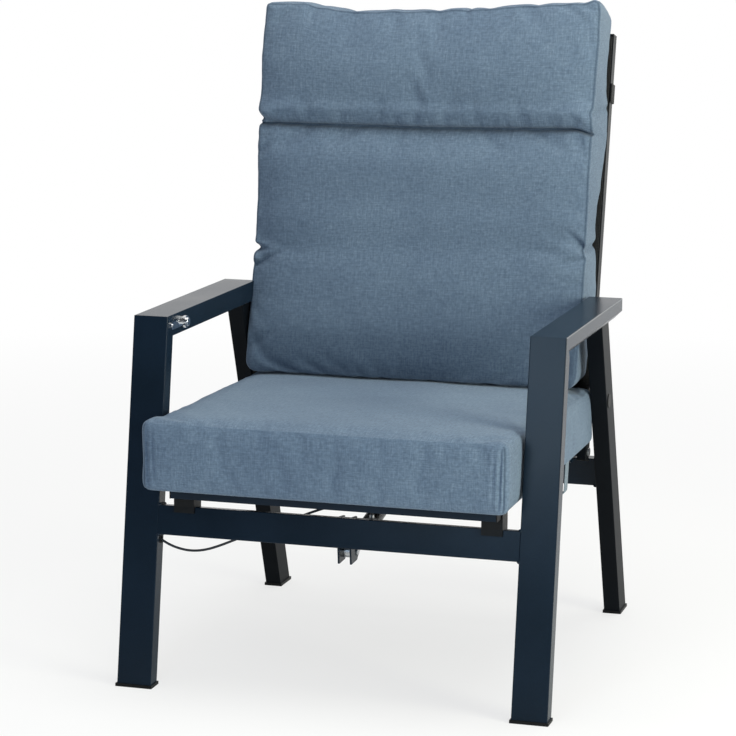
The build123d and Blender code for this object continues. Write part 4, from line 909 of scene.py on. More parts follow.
@dataclass(kw_only=True)
class SeatCushion(Cushion):
    """Firm boxed seat cushion with a level front face and a low crown."""

    name: str = "seat_cushion_cover"
    node: str = "seat_cushion"
    body: str = "seat"
    cells: tuple[int, int, int] = (70, 66, 14)
    fine_at: Spots = ((0.0, 1.0), (0.0, 1.0), (0.0, 1.0))
    round_by: Point = (0.016, 0.011, 0.013)
    swell: float = 3.0
    cap: float = 0.004
    fill: float = 0.9
    side_span: float = 0.29
    side_face: float = 0.002
    side_wave: float = 0.0008
    front_y: float = -0.3715
    width: float = 0.59
    depth: float = 0.5575
    bottom_z: float = 0.3268
    height: float = 0.109
    crown: float = 0.005
    bulge: float = 0.003
    droop: float = 0.003
    rear_foot: float = 0.01
    front_share: float = 0.06
    corner_fold: float = 0.0018
    fold_waves: float = 620
    fold_lean: float = 2.5
    fold_at: float = 0.012
    fold_reach: float = 0.018
    pucker_reach: float = 0.03

    # x of the left and the right edge and share of the height, from front to rear
    LEFTS = (
        (0.0, -0.3), (0.02, -0.3015), (0.065, -0.3015), (0.11, -0.2905), (0.34, -0.2895),
        (0.48, -0.295), (0.7, -0.298), (1.0, -0.298),
    )
    RIGHTS = (
        (0.0, 0.2855), (0.02, 0.287), (0.11, 0.2885), (0.34, 0.2895), (0.48, 0.295),
        (0.7, 0.2985), (1.0, 0.2985),
    )
    TOPS = ((0.0, 1.0), (1.0, 0.89))
    DROOPS = ((0.03, 1.0), (0.05, 0.0))
    FRONT_RIPPLES = (Ripple(0.0014, 9, 12, 5.0), Ripple(0.0005, 40, 14, 8.0))
    TOP_RIPPLES = (Ripple(0.0022, 7, 7, 3.0), Ripple(0.0006, 22, 22, 9.0))
    PUCKERS = Ripple(0.0009, 60, 12, 4.0)

    def flat_size(self) -> Point:
        """Width, depth and height of the box that the cover was cut for."""
        return (self.width, self.depth, self.height)

    def place(self, share: Point) -> Vector:
        """Point of the sewn cover.

        Args:
            share: place across, from front to rear and up, from 0 to 1 each.

        Returns:
            The point in metres.
        """
        across, back, up = share
        left = smooth_table(self.LEFTS, back)
        tall = self.height * smooth_table(self.TOPS, back)
        wide = smooth_table(self.RIGHTS, back) - left
        point = self.rounded(share, (wide, self.depth, tall))
        side = abs(2 * across - 1)
        rise = self.crown * (1 - side**2.4) * (1 - abs(2 * back - 1) ** 3)
        bulge = self.bulge * (1 - side**2) * math.sin(math.pi * up)
        bulge *= 1 - min(back / self.front_share, 1.0)
        low = self.droop * (1 - up) * smooth_table(self.DROOPS, back)
        y = self.front_y + point.y - bulge + self.rear_foot * back**6 * (1 - up)
        return Vector((left + point.x, y, self.bottom_z + point.z + rise * up - low))

    def is_seam(self, share: Point) -> bool:
        """The box's edges, and the underside that lies on the sling."""
        return share[2] == 0.0 or super().is_seam(share)

    def from_painted_shade(self, share: Point) -> float:
        """Distance to the upright seams at the corners, the only ones along which shade is painted.

        Args:
            share: place over the box.

        Returns:
            The distance in metres, or 1 on top and below.
        """
        across, back, _ = share
        if back in (0.0, 1.0):
            return min(across, 1 - across) * self.width
        if across in (0.0, 1.0):
            return min(back, 1 - back) * self.depth
        return 1.0

    def detail(self, point: Vector, share: Vector) -> Vector:
        """Corner folds, puckers behind the front edge and the slow waves of the foam.

        Args:
            point: place on the swelled cover in metres.
            share: its place over the box.

        Returns:
            The move in metres.
        """
        across, back, up = share
        move = Vector((0.0, 0.0, 0.0))
        edge_front = back * self.depth
        side = self.from_side(across)
        if back < self.front_share:
            fold = math.sin(side * self.fold_waves + self.fold_lean * up)
            fold *= bump(side - self.fold_at, self.fold_reach)
            middle = math.sin(math.pi * up)
            move.y += self.corner_fold * fold * bump(edge_front, 0.02) * middle
            move.y -= sum(ripple.at(point.x, point.z) for ripple in self.FRONT_RIPPLES) * middle
        if up > 0.5:
            lift = sum(ripple.at(point.x, point.y) for ripple in self.TOP_RIPPLES)
            behind = edge_front - self.pucker_reach
            lift += self.PUCKERS.at(point.x, point.y) * bump(behind, self.pucker_reach)
            move.z += lift * (2 * up - 1) * min(1.0, edge_front / WAVE_FADE, side / WAVE_FADE)
        if side < self.side_face and 0.05 < up < 0.95:
            wave = waves(point.y * 20, point.z * 9, 6.0)
            move.x += math.copysign(self.side_wave, point.x) * (wave - 0.3)
        return move


@dataclass(frozen=True)
class Pinch:
    """Place where the cover is drawn in at one side edge, with folds running from it."""

    up: float
    left: bool
    depth: float
    reach: float
    fold_reach: float
    fold_height: float
    folds: float

    def pull(self, side: float, rise: float, front: float) -> Vector:
        """How the cover moves at a point.

        Args:
            side: the point's distance from the side edge in metres.
            rise: its height over the pinch in metres.
            front: 1 on the front face, falling to 0 toward the rear.

        Returns:
            The move in metres.
        """
        drawn = self.depth * bump(rise, self.reach) * bump(side, 0.014)
        away = math.hypot(rise * 1.6, side)
        rays = math.cos(math.atan2(rise, side + 0.006) * self.folds + 9 * self.up)
        fold = self.fold_height * rays * bump(away - 0.02, self.fold_reach * 0.5)
        return Vector((drawn if self.left else -drawn, (0.7 * drawn + fold) * front, 0.0))


@dataclass(frozen=True)
class Fold:
    """Crease in the cloth near a side edge: a groove with a ridge above it.

    The ends are measured from the side edge inward and from the share up, in metres.
    """

    left: bool
    up: float
    start: Pair
    end: Pair
    depth: float
    width: float

    def push(self, side: float, rise: float) -> float:
        """How far the cloth goes back at a point.

        Args:
            side: the point's distance from the side edge in metres.
            rise: its height over the fold's share up, in metres.

        Returns:
            The move to the rear in metres.
        """
        run, climb = self.end[0] - self.start[0], self.end[1] - self.start[1]
        length = math.hypot(run, climb)
        along = (side - self.start[0]) * run + (rise - self.start[1]) * climb
        share = min(1.0, max(0.0, along / length**2))
        past = max(0.0, abs(along / length**2 - 0.5) - 0.5) * length
        across = ((rise - self.start[1]) * run - (side - self.start[0]) * climb) / length
        fade = (1 - 0.65 * share) * bump(past, self.width)
        groove = bump(across, self.width)
        ridge = bump(across - 2.4 * self.width, 1.5 * self.width)
        return self.depth * fade * (groove - 0.6 * ridge)


@dataclass(kw_only=True)
class BackCushion(Cushion):
    """Tall back cushion: lumbar swell, sewn channel and a padded headrest above it."""

    name: str = "back_cushion_cover"
    node: str = "back_cushion"
    body: str = "back"
    cells: tuple[int, int, int] = (72, 15, 92)
    channel: float = 0.685
    waist: float = 0.333
    fine_at: Spots = ((0.0, 1.0), (0.0, 1.0), (0.0, 0.333, 0.685, 1.0))
    round_by: Point = (0.009, 0.009, 0.01)
    swell: float = 3.5
    cap: float = 0.010
    fill: float = 0.75
    side_span: float = 0.297
    side_face: float = 0.003
    side_wave: float = 0.0014
    side_give: float = 0.35
    bottom_z: float = 0.4335
    height: float = 0.612
    top_fall: float = 0.034
    pillow: float = 0.009
    seated: float = 0.012
    channel_tilt: float = 0.006
    waist_tilt: float = 0.02
    channel_tuck: float = 0.009
    channel_crease: float = 0.009
    off_tubes: float = 0.0019
    pucker_waves: float = 230
    pucker_at: float = 0.012
    pucker_reach: float = 0.014
    channel_pucker: float = 0.0005
    side_pucker: float = 0.0016
    top_pucker: float = 0.0018
    top_wave: float = 0.0012
    tuck_x: float = 0.062
    tuck_down: float = 0.0025
    tuck_back: float = 0.004
    seam_groove: float = 0.0014

    # x of the left edge and of the right edge in front and at the rear, and reach ahead of the
    # sling, against the share of the height
    LEFTS = (
        (0.0, -0.287), (0.03, -0.2935), (0.1, -0.295), (0.247, -0.2975), (0.3, -0.297),
        (0.469, -0.2955), (0.65, -0.2985), (0.748, -0.298), (0.886, -0.3), (1.0, -0.2985),
    )
    RIGHTS = (
        (0.0, 0.2805), (0.04, 0.2855), (0.258, 0.2855), (0.385, 0.2845), (0.477, 0.285),
        (0.692, 0.286), (0.784, 0.2875), (0.896, 0.2895), (0.965, 0.288), (1.0, 0.2855),
    )
    REAR_RIGHTS = (
        (0.0, 0.2765), (0.02, 0.28), (0.1, 0.282), (0.23, 0.2885), (0.276, 0.2855),
        (0.335, 0.282), (0.395, 0.2795), (0.452, 0.2805), (0.526, 0.285), (0.65, 0.2895),
        (0.72, 0.2885), (0.79, 0.2835), (0.85, 0.2815), (0.913, 0.283), (1.0, 0.2845),
    )
    FRONTS = (
        (0.0, 0.115), (0.1, 0.109), (0.22, 0.101), (0.33, 0.099), (0.45, 0.107), (0.62, 0.12),
        (0.685, 0.121), (0.75, 0.13), (0.86, 0.139), (1.0, 0.136),
    )
    # rise of the top edge over the box, from left to right
    TOPS = (
        (0.0, 0.0105), (0.124, 0.0115), (0.167, 0.0055), (0.286, -0.0012), (0.388, 0.0011),
        (0.529, 0.0026), (0.58, 0.0057), (0.653, 0.0077), (0.801, 0.0145), (0.89, 0.0175),
        (0.95, 0.0194), (0.985, 0.0245), (1.0, 0.0225),
    )
    # painted shade on the lower front: how far the cloth's tone is from a seam's, from the seat upward
    PAINTED_LOW_SHADE = ((0.0, 0.02), (0.05, 0.14), (0.25, 0.36), (0.36, 0.45), (0.4, 1.0))
    PINCHES = (
        Pinch(0.338, True, 0.0075, 0.0065, 0.05, 0.0016, 6.0),
        Pinch(0.333, False, 0.0055, 0.0065, 0.05, 0.0014, 6.0),
        Pinch(0.703, True, 0.0045, 0.0065, 0.05, 0.0016, 7.0),
        Pinch(0.728, False, 0.0028, 0.005, 0.035, 0.0012, 6.0),
    )
    FOLDS = (
        Fold(True, 0.338, (0.004, -0.029), (0.048, -0.008), 0.0075, 0.0045),
        Fold(True, 0.338, (0.0, -0.003), (0.024, -0.002), 0.006, 0.004),
        Fold(True, 0.703, (0.0, 0.0), (0.034, -0.006), 0.006, 0.004),
        Fold(True, 0.62, (0.004, -0.01), (0.03, 0.006), 0.0028, 0.005),
        Fold(True, 0.09, (0.006, -0.012), (0.05, 0.012), 0.0035, 0.006),
        Fold(False, 0.333, (0.0, 0.0), (0.03, 0.036), 0.005, 0.005),
        Fold(False, 0.333, (0.0, -0.014), (0.045, -0.019), 0.0045, 0.005),
        Fold(False, 0.695, (0.0, -0.004), (0.03, 0.012), 0.0035, 0.0045),
    )
    NEAR_TOP = ((0.72, 0.0), (1.0, 1.0))
    # axis, move in metres, height over the channel and reach of its crease and of the headrest's
    # overhang
    CHANNEL_FORMS = (
        (1, 0.006, 0.0, 0.0032), (1, -0.009, 0.022, 0.014), (1, -0.002, -0.016, 0.012),
        (2, -0.0045, 0.009, 0.009),
    )
    FRONT_RIPPLES = (Ripple(0.0035, 5, 5, 7.0), Ripple(0.0007, 16, 16, 1.0))

    def flat_size(self) -> Point:
        """Width, depth and height of the box that the cover was cut for."""
        return (0.595, 0.13, self.height)

    def place(self, share: Point) -> Vector:
        """Point of the sewn cover.

        Args:
            share: place across, from front to rear and up, from 0 to 1 each.

        Returns:
            The point in metres.
        """
        across, back, up = share
        left = smooth_table(self.LEFTS, up)
        wide = smooth_table(self.RIGHTS, up) * (1 - back) - left
        wide += smooth_table(self.REAR_RIGHTS, up) * back
        side = abs(2 * across - 1)
        thick = smooth_table(self.FRONTS, up) - self.seated * (side**4) * bump(up - 0.9, 0.22)
        point = self.rounded(share, (wide, thick, self.height))
        near_top = smooth_table(self.NEAR_TOP, up)
        top = (smooth_table(self.TOPS, across) - self.top_fall * back**1.7) * near_top
        over = up - self.channel
        tilt = self.channel_tilt * max(0.0, 2 * across - 1) ** 1.5 * bump(over, 0.1)
        tilt += self.waist_tilt * across**2 * bump(up - self.waist, 0.12)
        tilt -= self.channel_tuck * bump((1 - across) * wide, 0.018) * bump(over, 0.02)
        z = self.bottom_z + point.z + top + tilt
        pillow = (1 - side**3.2) * (1 - abs(2 * up - 1) ** 7) * (1 - bump(over, 0.03))
        y = back_line_y(z) - (BACK_TUBE_HALF_DEPTH + self.off_tubes) / math.cos(BACK_LEAN)
        y += point.y - thick - self.pillow * pillow * (1 - back)
        y += self.channel_crease * bump(over, 0.006) * max(0.0, 1 - back * 4)
        return Vector((left + point.x, y, z))

    def is_seam(self, share: Point) -> bool:
        """The box's edges, the sewn channel and the rear face on the sling."""
        on_channel = share[1] == 0.0 and share[2] == self.channel
        return share[1] == 1.0 or on_channel or super().is_seam(share)

    def from_painted_shade(self, share: Point) -> float:
        """Distance to the nearest edge of the face or, in front, to the channel, along which shade is
        painted.

        Args:
            share: place over the box.

        Returns:
            The distance in metres, less where shade is painted on the front, darker toward the seat.
        """
        near = super().from_painted_shade(share)
        if share[1] == 0.0:
            near = min(near, abs(share[2] - self.channel) * self.height)
            # painted shade: the front darkens toward the seat
            near = min(near, PAINTED_SHADE_REACH * smooth_table(self.PAINTED_LOW_SHADE, share[2]))
        return near

    def detail(self, point: Vector, share: Vector) -> Vector:
        """The channel's crease, the pinched edges, puckers along the seams and slow waves.

        Args:
            point: place on the swelled cover in metres.
            share: its place over the box.

        Returns:
            The move in metres.
        """
        across, back, up = share
        side = self.from_side(across)
        on_left = across < 0.5
        front = max(0.0, 1 - back * 3)
        above = (up - self.channel) * self.height
        below_top = (1 - up) * self.height
        move = Vector((0.0, 0.0, 0.0))
        for axis, push, at, reach in self.CHANNEL_FORMS:
            move[axis] += push * bump(above - at, reach) * front
        pucker = math.sin(point.x * self.pucker_waves + 3 * waves(point.x * 30, 1.0, up * 4))
        move.y += self.channel_pucker * pucker * bump(above - self.pucker_at, 0.016) * front
        for pinch in self.PINCHES:
            if pinch.left == on_left:
                move += pinch.pull(side, (up - pinch.up) * self.height, front)
        for fold in self.FOLDS:
            if fold.left == on_left:
                move.y += fold.push(side, (up - fold.up) * self.height) * front
        ripple = waves(point.z * 38, 3.0 if on_left else 8.0, 2.0)
        move.y += self.side_pucker * ripple * bump(side - self.pucker_at, self.pucker_reach) * front
        ripple = waves(point.x * 36, 5.0, 2.0)
        below = bump(below_top - self.pucker_at, self.pucker_reach)
        move.y += self.top_pucker * ripple * below * front
        move.z += self.top_wave * ripple * bump(below_top, 0.02)
        tuck = bump(point.x - self.tuck_x, 0.005) * bump(below_top, 0.016)
        move.z -= self.tuck_down * tuck
        move.y += self.tuck_back * tuck * front
        wave = sum(ripple.at(point.x, point.z) for ripple in self.FRONT_RIPPLES)
        move.y += wave * front * min(1.0, side / WAVE_FADE)
        if side < self.side_face:
            wave = waves(point.y * 18, point.z * 22, 4.0)
            inward = self.side_wave * (wave - 0.2) * math.sin(math.pi * back)
            inward -= self.seam_groove * bump(back * 0.12 - 0.0045, 0.0022)
            move.x += math.copysign(inward, point.x)
        return move


# Slings


@dataclass
class Sling:
    """Sheet of coated mesh stretched over its tubes, a little slack between them."""

    name: str
    node: str
    body: str
    material: Material
    corner: Point
    across: Point
    along: Point
    sag: float
    rests_on: tuple[str, ...]
    held_at: tuple[float, ...] = ()
    thickness: float = 0.0012
    cells: int = 44
    side_share: float = 0.04

    def slack(self, u: float, v: float) -> float:
        """How far the sheet hangs at a place.

        Args:
            u: share across.
            v: share along.

        Returns:
            The share of the full sag, from 0 to 1.
        """
        inside = min(max((u - self.side_share) / (1 - 2 * self.side_share), 0.0), 1.0)
        free = math.sin(math.pi * inside) ** 0.8
        stops = (0.0, *self.held_at, 1.0)
        for low, high in zip(stops, stops[1:]):
            if low <= v <= high:
                return free * math.sin(math.pi * (v - low) / (high - low)) * (high - low) ** 0.5
        return 0.0

    def build(self) -> None:
        """Grid sheet, sagged, given its thickness and laid over the tubes."""
        deselect()
        bpy.ops.mesh.primitive_grid_add(
            x_subdivisions=self.cells, y_subdivisions=self.cells, size=1.0
        )
        piece = added(self.name)
        across, along = Vector(self.across), Vector(self.along)
        down = along.cross(across).normalized()
        corner = Vector(self.corner)
        layer = piece.data.uv_layers.active
        shares = [(vertex.co.x + 0.5, vertex.co.y + 0.5) for vertex in piece.data.vertices]
        for loop in piece.data.loops:
            u, v = shares[loop.vertex_index]
            layer.data[loop.index].uv = (u * across.length, v * along.length)
        for vertex, (u, v) in zip(piece.data.vertices, shares):
            vertex.co = corner + u * across + v * along + down * self.sag * self.slack(u, v)
        solid = piece.modifiers.new("Cloth thickness", "SOLIDIFY")
        solid.thickness = self.thickness
        solid.offset = 1.0
        apply_all(piece)
        bpy.ops.object.shade_smooth_by_angle(angle=math.radians(40))
        finish_with(piece, self.material)
        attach(piece, self.body)
        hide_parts(self.node)
        log.info("%s: sagged %.0f mm", self.name, self.sag * 1000)


# Straps


@dataclass
class Ribbon:
    """Flat strap that follows a path in the plane of X and another axis, extruded step by step."""

    name: str
    path: Sequence[Pair]
    origin: Point
    second: Point
    width_along: Point
    width: float
    thickness: float

    def build(self) -> Piece:
        """Extrude the strap along its path and give it its thickness.

        Returns:
            The strap.
        """
        origin, second = Vector(self.origin), Vector(self.second)
        half = Vector(self.width_along).normalized() * (self.width / 2)
        line = [origin + Vector((a, 0.0, 0.0)) + second * b for a, b in self.path]
        deselect()
        bpy.ops.mesh.primitive_plane_add(size=1.0)
        piece = added(self.name)
        ends = [vertex.co.y > 0 for vertex in piece.data.vertices]
        for vertex, end in zip(piece.data.vertices, ends):
            vertex.co = line[int(end)] + (half if vertex.co.x > 0 else -half)
        for polygon in piece.data.polygons:
            polygon.select = False
        for edge in piece.data.edges:
            edge.select = all(ends[index] for index in edge.vertices)
        for vertex, end in zip(piece.data.vertices, ends):
            vertex.select = end
        bpy.ops.object.mode_set(mode="EDIT")
        bpy.ops.mesh.select_mode(type="EDGE")
        for here, after in zip(line[1:], line[2:]):
            bpy.ops.mesh.extrude_region_move(
                TRANSFORM_OT_translate={"value": tuple(after - here)}
            )
        bpy.ops.object.mode_set(mode="OBJECT")
        self.unroll(piece, line, half.normalized())
        solid = piece.modifiers.new("Webbing thickness", "SOLIDIFY")
        solid.thickness = self.thickness
        solid.offset = 0.0
        bevel = piece.modifiers.new("Selvedge", "BEVEL")
        bevel.width = self.thickness * 0.3
        bevel.segments = 2
        apply_all(piece)
        bpy.ops.object.shade_smooth_by_angle(angle=math.radians(50))
        return piece

    def unroll(self, piece: Piece, line: Sequence[Vector], across: Vector) -> None:
        """Lay the UVs out flat: along the strap in U and across it in V, in metres.

        Args:
            piece: the strap.
            line: the points of its path.
            across: the unit direction of its width.
        """
        run = [0.0]
        for here, after in zip(line, line[1:]):
            run.append(run[-1] + (after - here).length)
        layer = piece.data.uv_layers.active
        for loop in piece.data.loops:
            co = piece.data.vertices[loop.vertex_index].co
            off = (co - line[0]).dot(across)
            flat = co - across * off
            nearest = min(range(len(line)), key=lambda index: (line[index] - flat).length)
            layer.data[loop.index].uv = (run[nearest], off)


def rounded_path(corners: Sequence[Pair], radius: float, steps: int = 5) -> list[Pair]:
    """Path through corners, each turned in a few short steps.

    Args:
        corners: the path's corners in its own plane.
        radius: how far before and after a corner the turn reaches.
        steps: points in each turn.

    Returns:
        The path's points.
    """
    path = [corners[0]]
    for before, here, after in zip(corners, corners[1:], corners[2:]):
        a, b, c = Vector(before), Vector(here), Vector(after)
        start = b + (a - b).normalized() * radius
        end = b + (c - b).normalized() * radius
        for step in range(steps + 1):
            t = step / steps
            point = (1 - t) ** 2 * start + 2 * t * (1 - t) * b + t * t * end
            path.append((point.x, point.y))
    path.append(corners[-1])
    return path


@dataclass
class Straps:
    """Strap round the back frame and the two ties under the seat cushion."""

    finishes: Finishes
    strap_height: float = 0.907

    # half of the right tie's loop, which the left one mirrors: x and z of its corners
    TIE = ((0.2358, 0.3248), (0.2358, 0.268), (0.2765, 0.262), (0.279, 0.3255))
    # the strap's path: x, and the distance behind the back frame's centre line
    STRAP = ((-0.2898, -0.0138), (-0.2898, 0.0143), (0.2898, 0.0143), (0.2898, -0.0138))

    def back_strap(self) -> None:
        """Elastic strap that holds the headrest end of the cushion to the frame."""
        piece = Ribbon(
            name="back_strap",
            path=rounded_path(self.STRAP, 0.004),
            origin=(0.0, back_line_y(self.strap_height), self.strap_height),
            second=(0.0, math.cos(BACK_LEAN), -math.sin(BACK_LEAN)),
            width_along=(0.0, math.sin(BACK_LEAN), math.cos(BACK_LEAN)),
            width=0.032,
            thickness=0.0024,
        ).build()
        finish_with(piece, self.finishes.strap)
        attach(piece, "back")
        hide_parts("cushion_strap")

    def ties(self) -> None:
        """Both ties, slack below the seat's side tubes, as one piece."""
        made = [
            Ribbon(
                name="seat_tie",
                path=rounded_path([(out * x, z) for x, z in self.TIE], 0.008),
                origin=(0.0, 0.0805, 0.0),
                second=(0.0, 0.0, 1.0),
                width_along=(0.0, 1.0, 0.0),
                width=0.0245,
                thickness=0.0013,
            ).build()
            for out in (-1.0, 1.0)
        ]
        piece = joined("seat_cushion_ties", made)
        finish_with(piece, self.finishes.tie)
        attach(piece, "seat")
        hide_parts("cushion_ties")

    def build(self) -> None:
        """Make the strap and the ties."""
        self.back_strap()
        self.ties()
        log.info("straps: back strap and two ties")


# Release cable


@dataclass
class ReleaseCable:
    """Cable from the push button, down inside the leg and under the rail to the gas spring."""

    material: Material
    diameter: float = 0.004
    length: float = 0.7254
    shift_y: float = -0.355979

    # The route's points, as the cable's solid has them
    ROUTE = (
        (-0.3080, 0.1200, 0.5660), (-0.3080, 0.1095, 0.5660), (-0.3085, 0.1005, 0.5600),
        (-0.3085, 0.0965, 0.5480), (-0.3070, 0.0935, 0.5270), (-0.3090, 0.0855, 0.4860),
        (-0.3070, 0.0785, 0.4400), (-0.3095, 0.0695, 0.3920), (-0.3075, 0.0645, 0.3460),
        (-0.3105, 0.0575, 0.3030), (-0.3110, 0.0545, 0.2720), (-0.3080, 0.0530, 0.2530),
        (-0.3000, 0.0520, 0.2375), (-0.2860, 0.0515, 0.2275), (-0.2660, 0.0520, 0.2195),
        (-0.2430, 0.0530, 0.2160), (-0.2190, 0.0545, 0.2190), (-0.1960, 0.0585, 0.2270),
        (-0.1720, 0.0665, 0.2370), (-0.1440, 0.0775, 0.2490), (-0.1120, 0.0875, 0.2615),
        (-0.0800, 0.0960, 0.2725), (-0.0460, 0.1045, 0.2860), (-0.0160, 0.1125, 0.2950),
        (0.0070, 0.1185, 0.2990), (0.0220, 0.1228, 0.2993), (0.0296, 0.1248, 0.2948),
        (0.0340, 0.1260, 0.2870), (0.0340, 0.1260, 0.2785),
    )

    def build(self) -> None:
        """Lay the cable on its route as one smooth curve."""
        curve = bpy.data.curves.new("release_cable_sheath", "CURVE")
        curve.dimensions = "3D"
        curve.bevel_depth = self.diameter / 2
        curve.bevel_resolution = 4
        curve.resolution_u = 10
        curve.use_fill_caps = True
        curve.materials.append(self.material)
        spline = curve.splines.new("NURBS")
        spline.points.add(len(self.ROUTE) - 1)
        for point, (x, y, z) in zip(spline.points, self.ROUTE):
            point.co = (x, y + self.shift_y, z, 1.0)
        spline.order_u = 3
        spline.use_endpoint_u = True
        piece = linked("release_cable_sheath", curve)
        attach(piece, "frame")
        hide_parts("release_cable")
        log.info("release cable: %.0f mm", self.length * 1000)


# Weld beads


@dataclass
class WeldBeads:
    """Rippled weld beads where the front and rear rails meet the legs, under the powder coat."""

    material: Material
    radius: float = 0.0036
    ripple: float = 0.0024
    flatten: float = 0.85
    rake: float = math.radians(8.776)
    leg_x: float = 0.2932
    start: float = 0.002
    depth: float = 0.025

    # y and z of the front rail's lower front corner, and for its two beads how high over it each
    # lies on the raked leg and how far its start drops
    FRONT_CORNER = (-0.31849, 0.243)
    FRONT_BEADS = ((0.0, 0.0005), (0.047, 0.0))
    # y and z of both ends of each bead on the rear rail
    REAR_BEADS = (
        ((0.2441, 0.2428), (0.2651, 0.2428)),
        ((0.2441, 0.2902), (0.2651, 0.2902)),
        ((0.2672, 0.245), (0.2672, 0.288)),
    )

    def seams(self) -> list[tuple[Vector, Vector]]:
        """Start and end of each bead, in metres."""
        sine, cosine = math.sin(self.rake), math.cos(self.rake)
        made = []
        for x in (-self.leg_x, self.leg_x):
            for rise, drop in self.FRONT_BEADS:
                y = self.FRONT_CORNER[0] + rise * sine
                z = self.FRONT_CORNER[1] + rise * cosine
                start = Vector((x, y + self.start, z - drop))
                made.append((start, Vector((x, y + cosine * self.depth, z - sine * self.depth))))
            for start, end in self.REAR_BEADS:
                made.append((Vector((x, *start)), Vector((x, *end))))
        return made

    def bead(self, start: Vector, end: Vector) -> Piece:
        """One bead: a flattened ball repeated by an Array modifier along the seam.

        Args:
            start: middle of its first ball.
            end: middle of its last ball.

        Returns:
            The bead.
        """
        run = end - start
        count = max(2, round(run.length / self.ripple))
        deselect()
        bpy.ops.mesh.primitive_uv_sphere_add(
            segments=10, ring_count=6, radius=self.radius, location=start
        )
        piece = bpy.context.object
        piece.scale = (1.0, self.flatten, self.flatten)
        bpy.ops.object.transform_apply(location=True, rotation=True, scale=True)
        array = piece.modifiers.new("Ripples", "ARRAY")
        array.count = count
        array.use_relative_offset = False
        array.use_constant_offset = True
        array.constant_offset_displace = run / (count - 1)
        apply_all(piece)
        return piece

    def build(self) -> None:
        """All beads as one piece of the fixed frame."""
        made = [self.bead(start, end) for start, end in self.seams()]
        piece = joined("weld_beads", made)
        bpy.ops.object.shade_smooth()
        finish_with(piece, self.material)
        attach(piece, "frame")
        log.info("weld beads: %d", len(made))


# Studio


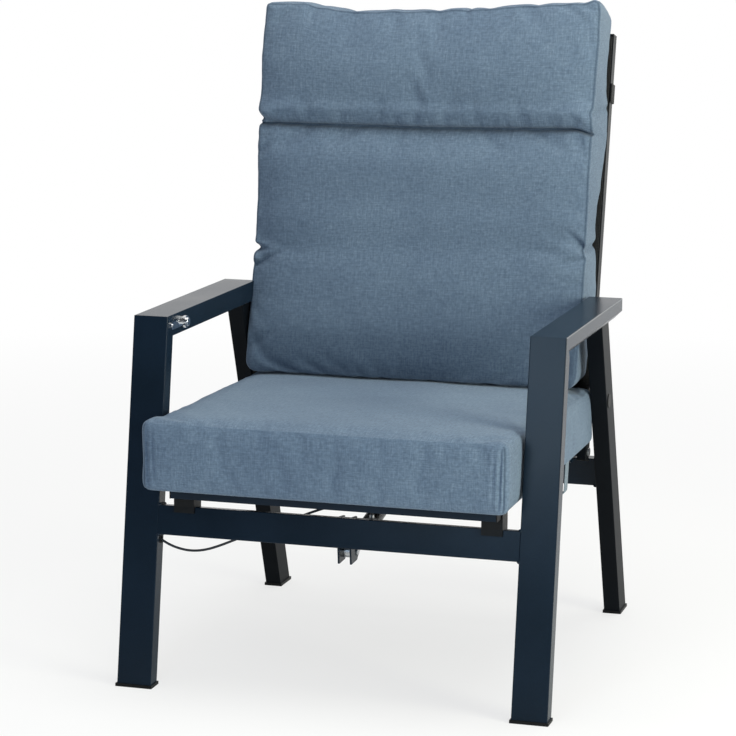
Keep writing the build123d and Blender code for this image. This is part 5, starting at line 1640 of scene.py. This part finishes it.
@dataclass
class Studio:
    """Pale floor, soft lamps and the photograph's camera."""

    focal_length: float = 132.2
    eye: Point = (1.2098, -4.21118, 1.2528)
    yaw: float = 0.289
    pitch: float = 0.1763
    roll: float = 0.0056
    floor_radius: float = 14.0
    floor_grey: float = 0.86
    floor_glow: float = 0.66
    floor_fade: float = 0.3
    sky_strength: float = 0.33
    sky_ahead: float = 0.12

    # name, place, the point that it faces, side in metres, watts and tint of each lamp
    LAMPS = (
        ("key_right", (3.1, -1.3, 1.15), (0.0, 0.0, 0.6), 1.5, 90.0, (1.0, 1.0, 0.84)),
        ("top_soft", (0.2, -0.1, 3.3), (0.0, 0.0, 0.6), 2.0, 68.0, (0.99, 1.0, 0.94)),
        ("front_fill", (-0.15, -2.3, 0.82), (0.0, 0.0, 0.5), 0.6, 8.5, (0.6, 0.8, 1.0)),
        ("rim_right", (1.8, 3.6, 1.0), (0.3, 0.0, 0.5), 1.8, 20.0, (0.98, 1.0, 0.95)),
    )

    def camera(self) -> None:
        """Camera where the photograph was taken from."""
        flat = Vector((math.sin(self.yaw), -math.cos(self.yaw), 0.0)) * math.cos(self.pitch)
        back = flat + Vector((0.0, 0.0, math.sin(self.pitch)))
        right = (-back).cross(Vector((0.0, 0.0, 1.0))).normalized()
        up = right.cross(-back)
        tilted_right = math.cos(self.roll) * right + math.sin(self.roll) * up
        tilted_up = -math.sin(self.roll) * right + math.cos(self.roll) * up
        data = bpy.data.cameras.new("photo_camera")
        data.lens = self.focal_length
        data.sensor_width = 36.0
        data.clip_end = 60.0
        camera = linked("photo_camera", data)
        turn = Matrix((tilted_right, tilted_up, back)).transposed().to_4x4()
        camera.matrix_world = Matrix.Translation(Vector(self.eye)) @ turn
        bpy.context.scene.camera = camera

    def floor(self) -> None:
        """Large pale floor that keeps a soft shadow.

        The camera sees it shine white, less so under the chair. So do mirroring surfaces, where
        the floor lies behind the chair.
        """
        deselect()
        bpy.ops.mesh.primitive_circle_add(
            vertices=96, radius=self.floor_radius, fill_type="NGON"
        )
        floor = bpy.context.object
        floor.name = "studio_floor"
        bench = Bench(bpy.data.materials.new("pale_floor"))
        path = bench.add("ShaderNodeLightPath").outputs
        place = bench.add("ShaderNodeTexCoord").outputs["Object"]
        spread = bench.place(Axes.OBJECT, self.floor_fade)
        middle = bench.add("ShaderNodeTexGradient", spread, gradient_type="SPHERICAL")
        near = bench.between(middle.outputs["Fac"], 1.0, self.floor_glow)
        along = bench.add("ShaderNodeSeparateXYZ", place).outputs["Y"]
        behind = bench.between(along, 0.0, 1.0, From_Min=-0.5, From_Max=1.5)
        mirrored = bench.combine("MULTIPLY", path["Is Glossy Ray"], behind)
        seen = bench.combine("ADD", path["Is Camera Ray"], mirrored)
        share = bench.combine("MULTIPLY", seen, near)
        grey = (self.floor_grey, self.floor_grey, self.floor_grey, 1.0)
        paint = bench.add("ShaderNodeBsdfDiffuse", grey).outputs[0]
        glow = bench.add("ShaderNodeEmission", (*WHITE, 1.0), 1.0).outputs[0]
        blend = bench.add("ShaderNodeMixShader", share, paint, glow)
        bench.add("ShaderNodeOutputMaterial", blend.outputs[0])
        floor.data.materials.append(bench.owner)

    def sky(self) -> None:
        """White surround that lights the object softly, dimmer ahead of it in its reflections."""
        world = bpy.data.worlds.new("white_surround")
        bpy.context.scene.world = world
        bench = Bench(world)
        path = bench.add("ShaderNodeLightPath").outputs
        place = bench.add("ShaderNodeTexCoord").outputs["Object"]
        along = bench.add("ShaderNodeSeparateXYZ", place).outputs["Y"]
        behind = bench.between(along, self.sky_ahead, 1.0, From_Min=-0.7, From_Max=0.2)
        strength = bench.combine("MAXIMUM", behind, path["Is Camera Ray"])
        either = bench.combine("ADD", path["Is Camera Ray"], path["Is Glossy Ray"])
        lit = bench.add("ShaderNodeBackground", (0.93, 0.96, 1.0, 1.0), self.sky_strength)
        seen = bench.add("ShaderNodeBackground", (*WHITE, 1.0), strength)
        blend = bench.add("ShaderNodeMixShader", either, lit.outputs[0], seen.outputs[0])
        bench.add("ShaderNodeOutputWorld", blend.outputs[0])

    def lamp(self, name: str, place: Point, aim: Point, size: float, watts: float, tint: Colour) -> None:
        """One soft square lamp.

        Args:
            name: the lamp's name.
            place: where it stands.
            aim: the point it faces.
            size: length of its side in metres.
            watts: its power.
            tint: its colour.
        """
        data = bpy.data.lights.new(name, "AREA")
        data.size = size
        data.energy = watts
        data.color = tint
        lamp = linked(name, data)
        lamp.location = place
        lamp.rotation_euler = (Vector(aim) - Vector(place)).to_track_quat("-Z", "Y").to_euler()

    def build(self) -> None:
        """Set up the camera, floor, surround and lamps."""
        self.camera()
        self.floor()
        self.sky()
        for lamp in self.LAMPS:
            self.lamp(*lamp)
        bpy.context.scene.view_settings.view_transform = "Standard"
        log.info("studio: camera, floor and lamps")


def main() -> None:
    """Dress the chair, piece by piece."""
    logging.basicConfig(level=logging.INFO, format="%(name)s: %(message)s")
    Studio().build()
    finishes = Finishes()
    finishes.dress_frame()
    ReleaseCable(finishes.sheath).build()
    SeatCushion(material=finishes.cloth).build()
    BackCushion(material=finishes.cloth).build()
    lean = Vector((0.0, math.sin(BACK_LEAN), math.cos(BACK_LEAN)))
    out = Vector((0.0, -math.cos(BACK_LEAN), math.sin(BACK_LEAN))) * (BACK_TUBE_HALF_DEPTH + 0.0001)
    foot = Vector((-0.286, back_line_y(0.368), 0.368)) + out
    Sling(
        name="back_sling_mesh",
        node="back_sling",
        body="back",
        material=finishes.mesh,
        corner=tuple(foot),
        across=(0.572, 0.0, 0.0),
        along=tuple(lean * 0.649),
        sag=0.007,
        rests_on=("back_side_tube_left", "back_side_tube_right", "back_top_tube"),
        held_at=(0.965,),
    ).build()
    Sling(
        name="seat_sling_mesh",
        node="seat_sling",
        body="seat",
        material=finishes.mesh,
        corner=(-0.258, -0.337, 0.3248),
        across=(0.516, 0.0, 0.0),
        along=(0.0, 0.515, 0.0),
        sag=0.006,
        rests_on=("seat_side_tube_left", "seat_side_tube_right", "seat_front_tube"),
        held_at=(0.04, 0.73, 0.78, 0.915, 0.965),
    ).build()
    Straps(finishes).build()
    WeldBeads(finishes.coat).build()


if __name__ == "__main__":
    main()
